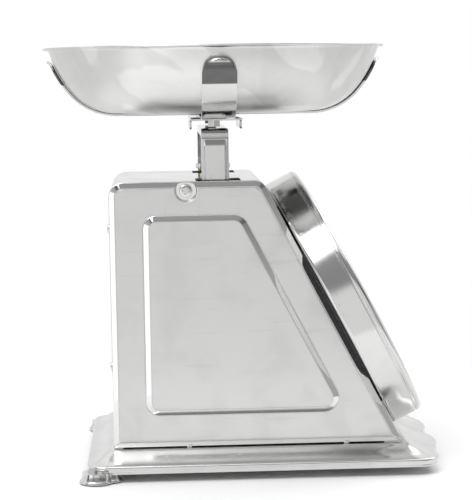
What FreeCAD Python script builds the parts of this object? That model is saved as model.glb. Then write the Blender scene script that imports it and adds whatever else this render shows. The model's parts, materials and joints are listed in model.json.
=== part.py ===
import FreeCAD, Part
import math
import os

# Mechanical dial kitchen scale with a lift-off bowl. Millimetres, +Z up.
# The dial faces -Y. The origin is on the floor, under the middle of the overall box.
# Mechanism: the bowl stands on a four-armed spider, carried by an upside-down U of pressed strip
# (the yoke). Two parallel arms keep the yoke upright, two springs hang it from a beam under the
# zero knob, and a rack on its crossbar turns the pointer's pinion.

Vec = FreeCAD.Vector
up = Vec(0, 0, 1)

# --- bowl
bowlRimRadius = 105.5
bowlFloorHeight = 216.5
bowlFloorRadius = 60.6
bowlHeelRadius = 36.0
bowlHeelAngle = 42.0
bowlWallRadius = 66.0
bowlWallAngle = 15.3
bowlSheet = 0.9
bowlFlangeSheet = 1.4

# --- base plate
baseBackReach = 81.5
baseFrontReach = 129.0
baseBow = 6.0
baseHalfWidth = 77.0
baseCornerRadius = 12.0
baseSkirtBottom = 5.0
baseRimHeight = 10.0
baseTop = 16.0
baseSheet = 1.2
lobeHalfSpan = 24.0
hipInset = 4.0
plateauMargin = 2.5
plateauRadius = 4.0
footInsetX = 3.5
footInsetY = 6.0
frontPostX = 44.0
frontPostReach = 112.0
frontPostRadius = 8.5
soleHeight = 0.8
footFlare = 2.0
padRadius = 7.0
padHeight = 3.0
tabLength = 3.0
tabDrop = 2.5
tabPlay = 0.2
tabReaches = (-20.0, 75.0)

# --- where the bowl's axis stands, so that the overall box is centred on the origin
axisY = (baseFrontReach + baseBow - bowlRimRadius) / 2

# --- housing
housingBackReach = 65.5
housingTopReach = 26.0
housingTop = 176.4
housingSlope = 27.4
housingHalfWidth = 54.5
housingSheet = 1.0
backCornerRadius = 9.0
frontCornerRadius = 7.0
footCornerRadius = 1.5
panelGap = 0.1
panelRim = 0.7
panelBevel = 4.0
panelDepth = 2.3
fieldInset = 20.0
fieldStepWidth = 3.0
fieldStepDepth = 1.5
fieldRadius = 8.0
sideScrewReach = -19.6
sideScrewHeight = 171.0
sideScrewHeadRadius = 4.0
recessRadius = 6.5
recessFloor = 1.0
wrapFlange = 11.0
earHalfLength = 8.0
earDrop = 7.0
legSlotBehind = 12.0
legSlotInFront = 15.0
legSlotMargin = 5.5
legSlotDepth = 14.0
backScrewX = 32.0
backScrewHeights = (147.0, 62.0)
baseScrewX = 36.0
baseScrewSetBack = 8.0
frameScrewX = 20.0

# --- travel
fullTurn = 346.0
pinionTeeth = 10
toothModule = 0.4
pinionPitchRadius = pinionTeeth * toothModule / 2
slopeCos = math.cos(math.radians(housingSlope))
slopeSin = math.sin(math.radians(housingSlope))
travel = pinionPitchRadius * math.radians(fullTurn) / slopeCos

# --- rack and pinion, measured from the back of the dial's drum
toothFactor = 0.34
rackWidth = 8.0
rackFront = -5.2
rackBack = rackFront - rackWidth
rackPlateX = 6.5
rackPlateSheet = 1.5
pinionFront = -2.7
pinionBack = rackBack - travel * slopeSin - 1.5
rearBearing = pinionBack - 1.0
rootDepth = 1.2 * toothModule
tipDepth = 0.85 * toothModule
spindleRadius = 1.2

# --- yoke, spider and platform
yokeSetBack = 1.4
yokeY = axisY + yokeSetBack
yokeHalfWidth = 47.0
yokeTop = 208.0
yokeBottom = 40.0
yokeDepth = 16.5
yokeSheet = 1.5
yokeFlange = 5.5
yokeShoulder = 8.0
strapSheet = 1.5
strapWidth = 20.0
upperStrapGap = 0.4
lowerStrapGap = upperStrapGap + strapSheet
platformHalfLength = 16.0
platformHalfWidth = 45.0
platformSheet = 1.2
platformLip = 5.6
platformTop = bowlFloorHeight - lowerStrapGap - strapSheet
platformScrewX = 33.0
platformLipX = 26.0
hubRivetRadius = 3.0
hubRivetHead = 5.0
hubRivetHeadHeight = 1.2
strapTipAngle = 24.0
strapCurlRadius = 5.0
strapCurlAngle = 50.0
crossbarBottom = 60.0
crossbarTop = 78.0

# --- guide arms
pinRadius = 2.0
runningClearance = 0.05
armReach = 52.0
upperPinHeight = 140.0
lowerPinHeight = 52.0
armInner = 39.0
armSheet = 1.5
shaftY = yokeY + armReach
armHalfHeight = 5.0
slotPlay = 0.7
slotClearance = 0.12
clipGap = 0.4
clipSheet = 0.8
frameSheet = 2.0
frameHalfWidth = 42.0
frameTop = 156.0
earBottom = 36.0
earTop = 144.0

# --- springs and zero adjuster
springX = 24.0
springCoilRadius = 5.5
springWire = 0.8
springTurns = 27
springRingRadius = 4.0
beamBottom = 148.0
beamTop = 164.0
zeroScrewRadius = 2.5
zeroKnobRadius = 10.8
zeroKnobBottom = 181.2
zeroKnobTop = 184.4
knobGrips = 24
gripRadius = 1.1
gripOffset = 0.4
knobNeckRadius = 4.5
knobNeckGap = 2.0
bushingRadius = 5.0
bushingFlange = 3.0
bushingFlangeHeight = 1.6
beamHalfLength = 32.0
beamHalfSheet = 1.0
bossHalfWidth = 6.0
bossHalfDepth = 5.0
hookHoleRadius = 2.2
stopStudRadius = 3.0
stopStudTop = 44.0
cushionRadius = 5.5
cushionBottom = 36.0
cushionGap = 0.4

# --- dial, in its own frame: local Z leaves the dial face, local Y runs up the slope
dialRadius = 85.0
dialStandOff = 1.2
dialHeight = 93.711
drumDepth = 17.8
drumSheet = 1.0
bezelTop = 20.8
plateLevel = 8.8
pointerLevel = 11.8
lensLevel = 17.0
dialScrewCircle = 56.0
dialScrewAngles = (90, 210, 330)
spindleBushRadius = 4.0
spacerRadius = 5.0
drumPadRadius = 70.0
drumPadPlay = 0.2
bezelLip = 6.5
bezelCorner = 2.6
bezelSlant = 1.5
gasketWidth = 2.0
plateRingWidth = 3.0
plateSheet = 0.8
pointerLength = 64.0
pointerTail = 20.0
pointerSheet = 0.8
pointerBoss = 5.0
pointerCapRadius = 4.0
pointerCapHeight = 2.6

# --- shared by several parts
screwShank = 1.6
screwClearance = 0.05
farAway = 60.0


def forward(reach):
    """Y of a point that lies this far in front of the bowl's axis."""
    return axisY - reach


def block(xMin, xMax, yMin, yMax, zMin, zMax):
    return Part.makeBox(xMax - xMin, yMax - yMin, zMax - zMin, Vec(xMin, yMin, zMin))


def rod(radius, start, end):
    axis = end - start
    return Part.makeCylinder(radius, axis.Length, start, axis)


def tube(outer, inner, start, end):
    return rod(outer, start, end).cut(rod(inner, start, end))


def mirrored(shape):
    return shape.mirror(Vec(0, 0, 0), Vec(1, 0, 0))


def joined(shapes):
    result = shapes[0]
    for shape in shapes[1:]:
        result = result.fuse(shape)
    return result.removeSplitter()


def placed(shape, position, direction):
    """Turns a shape made along +Z to point along direction, and moves it to position."""
    copy = shape.copy()
    copy.Placement = FreeCAD.Placement(position, FreeCAD.Rotation(up, direction))
    return copy


def inset(corners, distance):
    """Moves every side of a counter-clockwise outline inwards by distance."""
    moved = []
    count = len(corners)
    for i in range(count):
        before = corners[i - 1]
        here = corners[i]
        after = corners[(i + 1) % count]
        a = (here - before).normalize()
        b = (after - here).normalize()
        normalA = Vec(-a.y, a.x, 0)
        normalB = Vec(-b.y, b.x, 0)
        share = distance / (1 + normalA.dot(normalB))
        moved.append(here + (normalA + normalB) * share)
    return moved


def rounded(corners, radii):
    """A closed wire through the corners, each one rounded by its own radius."""
    edges = []
    ends = []
    count = len(corners)
    for i in range(count):
        here = corners[i]
        toBefore = (corners[i - 1] - here).normalize()
        toAfter = (corners[(i + 1) % count] - here).normalize()
        half = toBefore.getAngle(toAfter) / 2
        setBack = radii[i] / math.tan(half)
        middle = (toBefore + toAfter).normalize() * (radii[i] / math.sin(half) - radii[i])
        ends.append((here + toBefore * setBack, here + middle, here + toAfter * setBack))
    for i in range(count):
        start, middle, end = ends[i]
        edges.append(Part.Arc(start, middle, end).toShape())
        edges.append(Part.LineSegment(end, ends[(i + 1) % count][0]).toShape())
    return Part.Wire(edges)


def onSide(wire, x):
    """Stands a wire drawn as (forward-to-back, height) on the plane at this X."""
    turn = FreeCAD.Matrix(0, 0, 1, x, 1, 0, 0, 0, 0, 1, 0, 0, 0, 0, 0, 1)
    return wire.transformGeometry(turn)


def sidePrism(wire, xMin, xMax):
    return Part.Face(onSide(wire, xMin)).extrude(Vec(xMax - xMin, 0, 0))


def level(wire, z):
    copy = wire.copy()
    copy.translate(Vec(0, 0, z))
    return copy


def loft(first, second):
    return Part.makeLoft([first, second], True, True)


# --------------------------------------------------------------- fasteners
def screw(headRadius, headHeight, shankRadius, shankLength):
    """Pan-head cross-recess screw: head up from z = 0, shank down."""
    dome = Part.makeSphere(headRadius * 1.6, Vec(0, 0, headHeight - headRadius * 1.6))
    head = Part.makeCylinder(headRadius, headHeight).common(dome)
    shank = Part.makeCylinder(shankRadius, shankLength, Vec(0, 0, -shankLength))
    slotLength = headRadius * 1.1
    slotWidth = headRadius * 0.26
    slotDepth = headHeight * 0.55
    corner = Vec(-slotLength / 2, -slotWidth / 2, headHeight - slotDepth)
    bar = Part.makeBox(slotLength, slotWidth, slotDepth, corner)
    cross = bar.copy()
    cross.rotate(Vec(0, 0, 0), up, 90)
    return head.fuse(shank).cut(bar.fuse(cross))


def hexNut(acrossFlats, height, bore):
    corner = acrossFlats / math.sqrt(3)
    points = []
    for i in range(7):
        angle = math.radians(60 * i)
        points.append(Vec(corner * math.cos(angle), corner * math.sin(angle), 0))
    body = Part.Face(Part.makePolygon(points)).extrude(Vec(0, 0, height))
    return body.cut(Part.makeCylinder(bore, height))


# --------------------------------------------------------------- base
def baseCorners():
    back = forward(-baseBackReach)
    front = forward(baseFrontReach)
    return [Vec(-baseHalfWidth, front, 0), Vec(baseHalfWidth, front, 0),
            Vec(baseHalfWidth, back, 0), Vec(-baseHalfWidth, back, 0)]


def plateauCorners():
    halfWidth = housingHalfWidth + panelDepth + plateauMargin
    back = forward(-housingBackReach - plateauMargin)
    front = forward(frontReachAt(baseTop) + plateauMargin)
    return [Vec(-halfWidth, front, 0), Vec(halfWidth, front, 0),
            Vec(halfWidth, back, 0), Vec(-halfWidth, back, 0)]


def baseOutline(shrink, zMin, zMax):
    """The base's plan shape: a rounded rectangle with two shallow bows along its front."""
    wire = rounded(inset(baseCorners(), shrink), [baseCornerRadius - shrink] * 4)
    plan = Part.Face(level(wire, zMin)).extrude(Vec(0, 0, zMax - zMin))
    bowRadius = (lobeHalfSpan ** 2 + baseBow ** 2) / (2 * baseBow)
    bowY = forward(baseFrontReach + baseBow) + bowRadius
    lobeOverlap = 0.93
    for side in (-1, 1):
        centre = Vec(side * lobeHalfSpan * lobeOverlap, bowY, zMin)
        plan = plan.fuse(Part.makeCylinder(bowRadius - shrink, zMax - zMin, centre))
    return plan.removeSplitter()


def footCentre(sideX, sideY):
    """Middle of a foot: back feet (sideY 1) at the corners, front ones (sideY -1) set inward."""
    if sideY > 0:
        return Vec(sideX * (baseHalfWidth - footInsetX), forward(-baseBackReach + footInsetY), 0)
    return Vec(sideX * frontPostX, forward(frontPostReach), 0)


def footPlate(sideX):
    """A flared three-lobed foot, pressed out under one back corner of the base."""
    mainRadius = 10.5
    sideRadius = 8.0
    alongSide = Vec(-sideX * 2.5, -7.5, 0)
    alongEnd = Vec(-sideX * 9.5, -0.5, 0)
    height = baseSkirtBottom + 1 - soleHeight
    corner = footCentre(sideX, 1) + up * soleHeight
    cones = [Part.makeCone(mainRadius, mainRadius - footFlare, height, corner)]
    for offset in (alongSide, alongEnd):
        cones.append(Part.makeCone(sideRadius, sideRadius - footFlare, height, corner + offset))
    return joined(cones)


def frontPost(sideX, solidBase):
    """A round post under the base's front, ending in its own top sheet."""
    foot = footCentre(sideX, -1)
    return rod(frontPostRadius, foot + up * soleHeight, foot + up * baseTop).common(solidBase)


def footPad(sideX, sideY):
    corner = footCentre(sideX, sideY)
    return rod(padRadius, corner, corner + Vec(0, 0, padHeight))


def makeBasePlate():
    voidInset = hipInset + baseSheet
    voidTop = baseTop - baseSheet
    voidRim = baseRimHeight - baseSheet
    plateau = rounded(plateauCorners(), [plateauRadius] * 4)
    plateauInner = rounded(inset(plateauCorners(), baseSheet), [plateauRadius - baseSheet] * 4)
    foot = rounded(inset(baseCorners(), hipInset), [baseCornerRadius - hipInset] * 4)
    footInner = rounded(inset(baseCorners(), voidInset), [baseCornerRadius - voidInset] * 4)
    outer = baseOutline(0, baseSkirtBottom, baseRimHeight)
    outer = outer.fuse(loft(level(foot, baseRimHeight), level(plateau, baseTop)))
    hollow = baseOutline(baseSheet, baseSkirtBottom - 1, voidRim)
    hollow = hollow.fuse(loft(level(footInner, voidRim), level(plateauInner, voidTop)))
    plate = outer.cut(hollow)
    solidBase = outer.fuse(baseOutline(0, 0, baseSkirtBottom))
    for sideX in (-1, 1):
        plate = plate.fuse(footPlate(sideX)).fuse(frontPost(sideX, solidBase))
        for sideY in (-1, 1):
            plate = plate.cut(footPad(sideX, sideY))
    for x, y in baseScrewPlaces():
        plate = plate.cut(rod(screwShank + screwClearance, Vec(x, y, 0), Vec(x, y, baseTop + 1)))
    plate = plate.cut(rod(stopStudRadius, Vec(0, yokeY, 0), Vec(0, yokeY, baseTop + 1)))
    for side in (-1, 1):
        for reach in tabReaches:
            x = side * (housingHalfWidth + panelGap + panelRim / 2)
            y = forward(reach)
            halfX = panelRim / 2 + tabPlay
            halfY = tabLength / 2 + tabPlay
            plate = plate.cut(block(x - halfX, x + halfX, y - halfY, y + halfY, 0, baseTop + 1))
    return plate.removeSplitter()


def baseScrewPlaces():
    """Screws up through the base: two for the housing's front, two for the inner frame."""
    places = []
    for side in (-1, 1):
        places.append((side * baseScrewX, forward(frontReachAt(baseTop) - baseScrewSetBack)))
        places.append((side * frameScrewX, shaftY - 1.0))
    return places


def makeBaseScrews():
    one = screw(3.0, 1.8, screwShank, 5.0)
    places = [Vec(x, y, baseTop - baseSheet) for x, y in baseScrewPlaces()]
    return Part.makeCompound([placed(one, place, Vec(0, 0, -1)) for place in places])


# --------------------------------------------------------------- housing
def frontReachAt(z):
    """How far the sloping front stands in front of the bowl's axis at height z."""
    return housingTopReach + (housingTop - z) * slopeSin / slopeCos


def housingCorners():
    """Side view of the housing, as (Y, Z), counter-clockwise."""
    back = forward(-housingBackReach)
    return [Vec(forward(frontReachAt(baseTop)), baseTop, 0), Vec(back, baseTop, 0),
            Vec(back, housingTop, 0), Vec(forward(housingTopReach), housingTop, 0)]


def housingWire(shrink):
    radii = [footCornerRadius, footCornerRadius, backCornerRadius, frontCornerRadius]
    smallest = 0.4
    return rounded(inset(housingCorners(), shrink), [max(r - shrink, smallest) for r in radii])


def fieldWire(shrink):
    radii = [fieldRadius + 1, fieldRadius, fieldRadius, fieldRadius + 1]
    return rounded(inset(housingCorners(), fieldInset + shrink), [r - shrink for r in radii])


def sideScrewPoint(x):
    return Vec(x, forward(sideScrewReach), sideScrewHeight)


def dialPlacement():
    """Middle of the drum's back, tipped so that local Z leaves the dial face."""
    wallZ = dialHeight - dialStandOff * slopeSin
    wallY = forward(frontReachAt(wallZ))
    centre = Vec(0, wallY - dialStandOff * slopeCos, dialHeight)
    return FreeCAD.Placement(centre, FreeCAD.Rotation(Vec(1, 0, 0), 90 - housingSlope))


def onDial(shape):
    copy = shape.copy()
    copy.Placement = dialPlacement().multiply(copy.Placement)
    return copy


def dialScrewPoints(z):
    points = []
    for angle in dialScrewAngles:
        turn = math.radians(angle)
        points.append(Vec(dialScrewCircle * math.cos(turn), dialScrewCircle * math.sin(turn), z))
    return points


def backScrewPlaces():
    return [(side * backScrewX, z) for side in (-1, 1) for z in backScrewHeights]


def makeHousingWrap():
    """Back, top and sloping front, bent from one strip; open at both sides."""
    shell = sidePrism(housingWire(0), -housingHalfWidth, housingHalfWidth)
    shell = shell.cut(sidePrism(housingWire(housingSheet), -housingHalfWidth, housingHalfWidth))
    bottomFront = forward(frontReachAt(baseTop) - wrapFlange)
    bottomBack = forward(-housingBackReach + wrapFlange / 2)
    shell = shell.cut(block(-housingHalfWidth, housingHalfWidth, bottomFront, bottomBack,
                            baseTop, baseTop + 2))
    for side in (-1, 1):
        shell = shell.fuse(makeWrapEar(side))
        shell = shell.cut(legSlot(side))
    hole = screwShank + screwClearance
    shell = shell.cut(rod(hole, sideScrewPoint(-farAway), sideScrewPoint(farAway)))
    shell = shell.cut(rod(bushingRadius, Vec(0, yokeY, housingTop - 5), Vec(0, yokeY, housingTop + 1)))
    for x, z in backScrewPlaces():
        y = forward(-housingBackReach)
        shell = shell.cut(rod(hole, Vec(x, y - 5, z), Vec(x, y + 1, z)))
    for point in dialScrewPoints(0):
        shell = shell.cut(onDial(rod(hole, point - up * (dialStandOff + 3), point + up)))
    shell = shell.cut(onDial(rod(spindleBushRadius, Vec(0, 0, -dialStandOff - 3), up)))
    for x, y in baseScrewPlaces():
        shell = shell.cut(rod(hole, Vec(x, y, baseTop - 1), Vec(x, y, baseTop + 3)))
    return shell.removeSplitter()


def makeWrapEar(side):
    """Ear turned down from the wrap's top, for the side panel's screw."""
    outer = side * housingHalfWidth
    inner = side * (housingHalfWidth - housingSheet)
    y = forward(sideScrewReach)
    return block(min(outer, inner), max(outer, inner), y - earHalfLength, y + earHalfLength,
                 sideScrewHeight - earDrop, housingTop - housingSheet / 2)


def legSlot(side):
    """Opening in the wrap's top that a leg of the yoke passes through."""
    outer = side * (yokeHalfWidth + legSlotMargin)
    inner = side * (yokeHalfWidth - legSlotMargin - legSlotDepth)
    return block(min(outer, inner), max(outer, inner), yokeY - legSlotInFront, yokeY + legSlotBehind,
                 housingTop - 2, housingTop + 1)


def makeSidePanel():
    """Pressed cover on the +X side: bevelled border, raised field, and a dimple for its screw."""
    joint = housingHalfWidth + panelGap
    rimTop = joint + panelRim
    face = joint + panelDepth
    field = face + fieldStepDepth
    skin = housingSheet
    outer = sidePrism(housingWire(0), joint, rimTop)
    outer = outer.fuse(loft(onSide(housingWire(0), rimTop), onSide(housingWire(panelBevel), face)))
    outer = outer.fuse(loft(onSide(fieldWire(0), face), onSide(fieldWire(fieldStepWidth), field)))
    turn = rimTop - 0.4
    inner = sidePrism(housingWire(skin), joint - 1, turn)
    inner = inner.fuse(loft(onSide(housingWire(skin), turn),
                            onSide(housingWire(panelBevel + skin), face - skin)))
    inner = inner.fuse(loft(onSide(fieldWire(skin), face - skin),
                            onSide(fieldWire(fieldStepWidth + skin), field - skin)))
    panel = outer.cut(inner)
    seat = joint + recessFloor
    cup = rod(recessRadius + skin, sideScrewPoint(joint), sideScrewPoint(face)).common(outer)
    panel = panel.fuse(cup)
    panel = panel.cut(rod(recessRadius, sideScrewPoint(seat), sideScrewPoint(field + 1)))
    panel = panel.cut(rod(screwShank + 0.3, sideScrewPoint(joint - 1), sideScrewPoint(seat + 1)))
    for reach in tabReaches:
        y = forward(reach)
        tab = block(joint, rimTop, y - tabLength / 2, y + tabLength / 2, baseTop - tabDrop, baseTop + 1)
        panel = panel.fuse(tab)
    return panel.removeSplitter()


def makeSideScrews():
    seat = housingHalfWidth + panelGap + recessFloor
    one = placed(screw(sideScrewHeadRadius, 2.0, screwShank, 6.0), sideScrewPoint(seat), Vec(1, 0, 0))
    return Part.makeCompound([one, mirrored(one)])


def makeBackScrews():
    one = screw(3.2, 2.0, screwShank, 5.0)
    places = [Vec(x, forward(-housingBackReach), z) for x, z in backScrewPlaces()]
    return Part.makeCompound([placed(one, place, Vec(0, 1, 0)) for place in places])


# --------------------------------------------------------------- inner frame
def makeInnerFrame():
    """Plate on the housing's back, with a foot on the base and two ears for the arm shafts."""
    wall = forward(-housingBackReach) - housingSheet
    floor = baseTop + housingSheet
    earInner = armInner - 2.5
    frame = block(-frameHalfWidth, frameHalfWidth, wall - frameSheet, wall, floor, frameTop)
    frame = frame.fuse(block(-frameHalfWidth, frameHalfWidth, shaftY - 6, wall, floor, floor + frameSheet))
    for side in (-1, 1):
        xMin = min(side * earInner, side * (earInner + frameSheet))
        frame = frame.fuse(block(xMin, xMin + frameSheet, shaftY - 5, wall - 1, earBottom, earTop))
    for pinHeight in (upperPinHeight, lowerPinHeight):
        z = pinHeight - travel / 2
        frame = frame.cut(rod(pinRadius, Vec(-farAway, shaftY, z), Vec(farAway, shaftY, z)))
    hole = screwShank + screwClearance
    for x, z in backScrewPlaces():
        frame = frame.cut(rod(hole, Vec(x, wall - 3, z), Vec(x, wall + 1, z)))
    for x, y in baseScrewPlaces():
        frame = frame.cut(rod(hole, Vec(x, y, baseTop), Vec(x, y, baseTop + 5)))
    return frame.removeSplitter()


def makeArmShaft(pinHeight):
    end = armInner + armSheet + 2.0
    z = pinHeight - travel / 2
    return rod(pinRadius, Vec(-end, shaftY, z), Vec(end, shaftY, z))


def makeShaftClips():
    clips = []
    start = armInner + armSheet + clipGap
    for pinHeight in (upperPinHeight, lowerPinHeight):
        z = pinHeight - travel / 2
        clip = tube(pinRadius + 2, pinRadius, Vec(start, shaftY, z), Vec(start + clipSheet, shaftY, z))
        clips.extend([clip, mirrored(clip)])
    return Part.makeCompound(clips)


def makeArm(pinHeight):
    """H-shaped guide arm: two side plates, a web, plain bores behind and slots in front."""
    rise = math.degrees(math.asin(travel / 2 / armReach))
    outer = armInner + armSheet
    half = armHalfHeight
    sidePlate = block(armInner, outer, -armReach, 0, -half, half)
    for y in (0, -armReach):
        sidePlate = sidePlate.fuse(rod(half, Vec(armInner, y, 0), Vec(outer, y, 0)))
    sidePlate = sidePlate.cut(rod(pinRadius + runningClearance, Vec(0, 0, 0), Vec(farAway, 0, 0)))
    slotRadius = pinRadius + slotClearance
    for y in (-armReach - slotPlay, -armReach + slotPlay):
        sidePlate = sidePlate.cut(rod(slotRadius, Vec(0, y, 0), Vec(farAway, y, 0)))
    sidePlate = sidePlate.cut(block(0, farAway, -armReach - slotPlay, -armReach + slotPlay,
                                    -slotRadius, slotRadius))
    webHalf = armInner + 0.5
    web = block(-webHalf, webHalf, -armReach * 0.42, -armReach * 0.22, -half, -half + armSheet)
    arm = joined([sidePlate, mirrored(sidePlate), web])
    arm.rotate(Vec(0, 0, 0), Vec(1, 0, 0), -rise)
    arm.translate(Vec(0, shaftY, pinHeight - travel / 2))
    return arm


# --------------------------------------------------------------- yoke and carriage
def yokeProfile(halfWidth, top, radius):
    """Upside-down U as a filled front view, rounded at its shoulders."""
    bottom = yokeBottom - 1
    corners = [Vec(-halfWidth, bottom, 0), Vec(halfWidth, bottom, 0),
               Vec(halfWidth, top, 0), Vec(-halfWidth, top, 0)]
    return rounded(corners, [0.2, 0.2, radius, radius])


def frontPrism(wire, yMin, yMax):
    """Extrudes a wire drawn as (X, Z) from yMin to yMax."""
    turn = FreeCAD.Matrix(1, 0, 0, 0, 0, 0, 1, yMin, 0, 1, 0, 0, 0, 0, 0, 1)
    return Part.Face(wire.transformGeometry(turn)).extrude(Vec(0, yMax - yMin, 0))


def makeYoke():
    """Channel-section strip bent into an upside-down U, its flanges turned inwards."""
    half = yokeDepth / 2
    grow = yokeFlange
    outer = yokeProfile(yokeHalfWidth, yokeTop, yokeShoulder)
    skin = yokeProfile(yokeHalfWidth - yokeSheet, yokeTop - yokeSheet, yokeShoulder - yokeSheet)
    core = yokeProfile(yokeHalfWidth - grow, yokeTop - grow, yokeShoulder - grow)
    yoke = frontPrism(outer, yokeY - half, yokeY + half)
    yoke = yoke.cut(frontPrism(core, yokeY - half - 1, yokeY + half + 1))
    yoke = yoke.cut(frontPrism(skin, yokeY - half + yokeSheet, yokeY + half - yokeSheet))
    below = block(-farAway, farAway, yokeY - half - 1, yokeY + half + 1, yokeBottom - 5, yokeBottom)
    yoke = yoke.cut(below)
    for z in (upperPinHeight, lowerPinHeight):
        yoke = yoke.cut(rod(pinRadius, Vec(-farAway, yokeY, z), Vec(farAway, yokeY, z)))
    z = (crossbarBottom + crossbarTop) / 2
    yoke = yoke.cut(rod(screwShank, Vec(-farAway, yokeY, z), Vec(farAway, yokeY, z)))
    for side in (-1, 1):
        x = side * platformScrewX
        yoke = yoke.cut(rod(screwShank, Vec(x, yokeY, yokeTop - 3), Vec(x, yokeY, yokeTop + 1)))
    return yoke.removeSplitter()


def makeCrossbar():
    """Plate between the yoke's legs; the springs hook into its top edge."""
    inside = yokeHalfWidth - yokeSheet
    endLength = 4.0
    through = Vec(0, 5, 0)
    bar = block(-inside, inside, yokeY - 1, yokeY + 1, crossbarBottom, crossbarTop)
    z = (crossbarBottom + crossbarTop) / 2
    for side in (-1, 1):
        xMin = min(side * inside, side * (inside - endLength))
        bar = bar.fuse(block(xMin, xMin + endLength, yokeY - 6, yokeY + 6, crossbarBottom, crossbarTop))
        hook = Vec(side * springX, yokeY, crossbarTop - springRingRadius)
        bar = bar.cut(rod(hookHoleRadius, hook - through, hook + through))
        innerEnd = Vec(side * (inside - endLength - 0.5), yokeY, z)
        outerEnd = Vec(side * (inside + 1), yokeY, z)
        bar = bar.cut(rod(screwShank, innerEnd, outerEnd))
    for y, height in rackBracketScrews():
        bar = bar.cut(rod(screwShank, Vec(-3, y, height), Vec(9, y, height)))
    return bar.removeSplitter()


def makeCrossbarScrews():
    z = (crossbarBottom + crossbarTop) / 2
    one = placed(screw(3.0, 1.8, screwShank, 5.0), Vec(yokeHalfWidth, yokeY, z), Vec(1, 0, 0))
    return Part.makeCompound([one, mirrored(one)])


def makeYokePins():
    """Four headed pins through the yoke's legs, two for each arm."""
    pins = []
    inner = armInner - 1.5
    outer = yokeHalfWidth + 1
    headRadius = pinRadius + 1.2
    for z in (upperPinHeight, lowerPinHeight):
        pin = rod(pinRadius, Vec(inner, yokeY, z), Vec(outer, yokeY, z))
        head = rod(headRadius, Vec(yokeHalfWidth, yokeY, z), Vec(outer, yokeY, z))
        pin = pin.fuse(head).removeSplitter()
        pins.extend([pin, mirrored(pin)])
    return Part.makeCompound(pins)


def makePlatformPlate():
    """Plate on the yoke, with a lip turned down at its front and back."""
    bottom = platformTop - platformSheet
    lipBottom = bottom - platformLip
    front = axisY - platformHalfLength
    back = axisY + platformHalfLength
    plate = block(-platformHalfWidth, platformHalfWidth, front, back, lipBottom, platformTop)
    plate = plate.cut(block(-farAway, farAway, front + platformSheet, back - platformSheet,
                            lipBottom - 1, bottom))
    for side in (-1, 1):
        edge = side * platformLipX
        far = side * farAway
        plate = plate.cut(block(min(edge, far), max(edge, far), front - 1, back + 1, lipBottom - 1, bottom))
    for x in (-platformScrewX, platformScrewX):
        plate = plate.cut(rod(screwShank, Vec(x, yokeY, bottom - 1), Vec(x, yokeY, platformTop + 1)))
    return plate.cut(rod(hubRivetRadius, Vec(0, axisY, bottom - 1), Vec(0, axisY, platformTop + 1)))


def makeSpacerNuts():
    height = platformTop - platformSheet - yokeTop
    nuts = []
    for x in (-platformScrewX, platformScrewX):
        nuts.append(placed(hexNut(7.0, height, screwShank), Vec(x, yokeY, yokeTop), up))
    return Part.makeCompound(nuts)


def makePlatformScrews():
    """Low-head screws from above the lower strap down into the yoke."""
    top = platformTop + strapSheet
    one = screw(3.4, 1.3, screwShank, top - yokeTop + 4.0)
    places = [Vec(x, yokeY, top) for x in (-platformScrewX, platformScrewX)]
    return Part.makeCompound([placed(one, place, up) for place in places])


def makeHubRivet():
    bottom = Vec(0, axisY, platformTop - platformSheet)
    shank = rod(hubRivetRadius, bottom, Vec(0, axisY, bowlFloorHeight - upperStrapGap))
    return shank.fuse(rod(hubRivetHead, bottom - up * hubRivetHeadHeight, bottom)).removeSplitter()


def bowlArcs():
    """Centres of the bowl's heel and wall arcs, as (radius, height)."""
    heel = math.radians(bowlHeelAngle)
    heelCentre = Vec(bowlFloorRadius, bowlFloorHeight + bowlHeelRadius, 0)
    out = Vec(math.cos(heel), -math.sin(heel), 0)
    return heelCentre, heelCentre + out * (bowlHeelRadius - bowlWallRadius)


def onArc(centre, radius, angle):
    turn = math.radians(angle)
    return centre + Vec(radius * math.cos(turn), -radius * math.sin(turn), 0)


def bowlCurve(offset, endAngle):
    """Edges from the bowl's axis along its outside, moved out by offset, up to endAngle from level."""
    heelCentre, wallCentre = bowlArcs()
    heelRadius = bowlHeelRadius + offset
    wallRadius = bowlWallRadius + offset
    start = Vec(0, bowlFloorHeight - offset, 0)
    a = onArc(heelCentre, heelRadius, 90)
    middleA = onArc(heelCentre, heelRadius, (90 + bowlHeelAngle) / 2)
    b = onArc(heelCentre, heelRadius, bowlHeelAngle)
    middleB = onArc(wallCentre, wallRadius, (bowlHeelAngle + endAngle) / 2)
    c = onArc(wallCentre, wallRadius, endAngle)
    edges = [Part.LineSegment(start, a).toShape(), Part.Arc(a, middleA, b).toShape(),
             Part.Arc(b, middleB, c).toShape()]
    return edges, start, c


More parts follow.
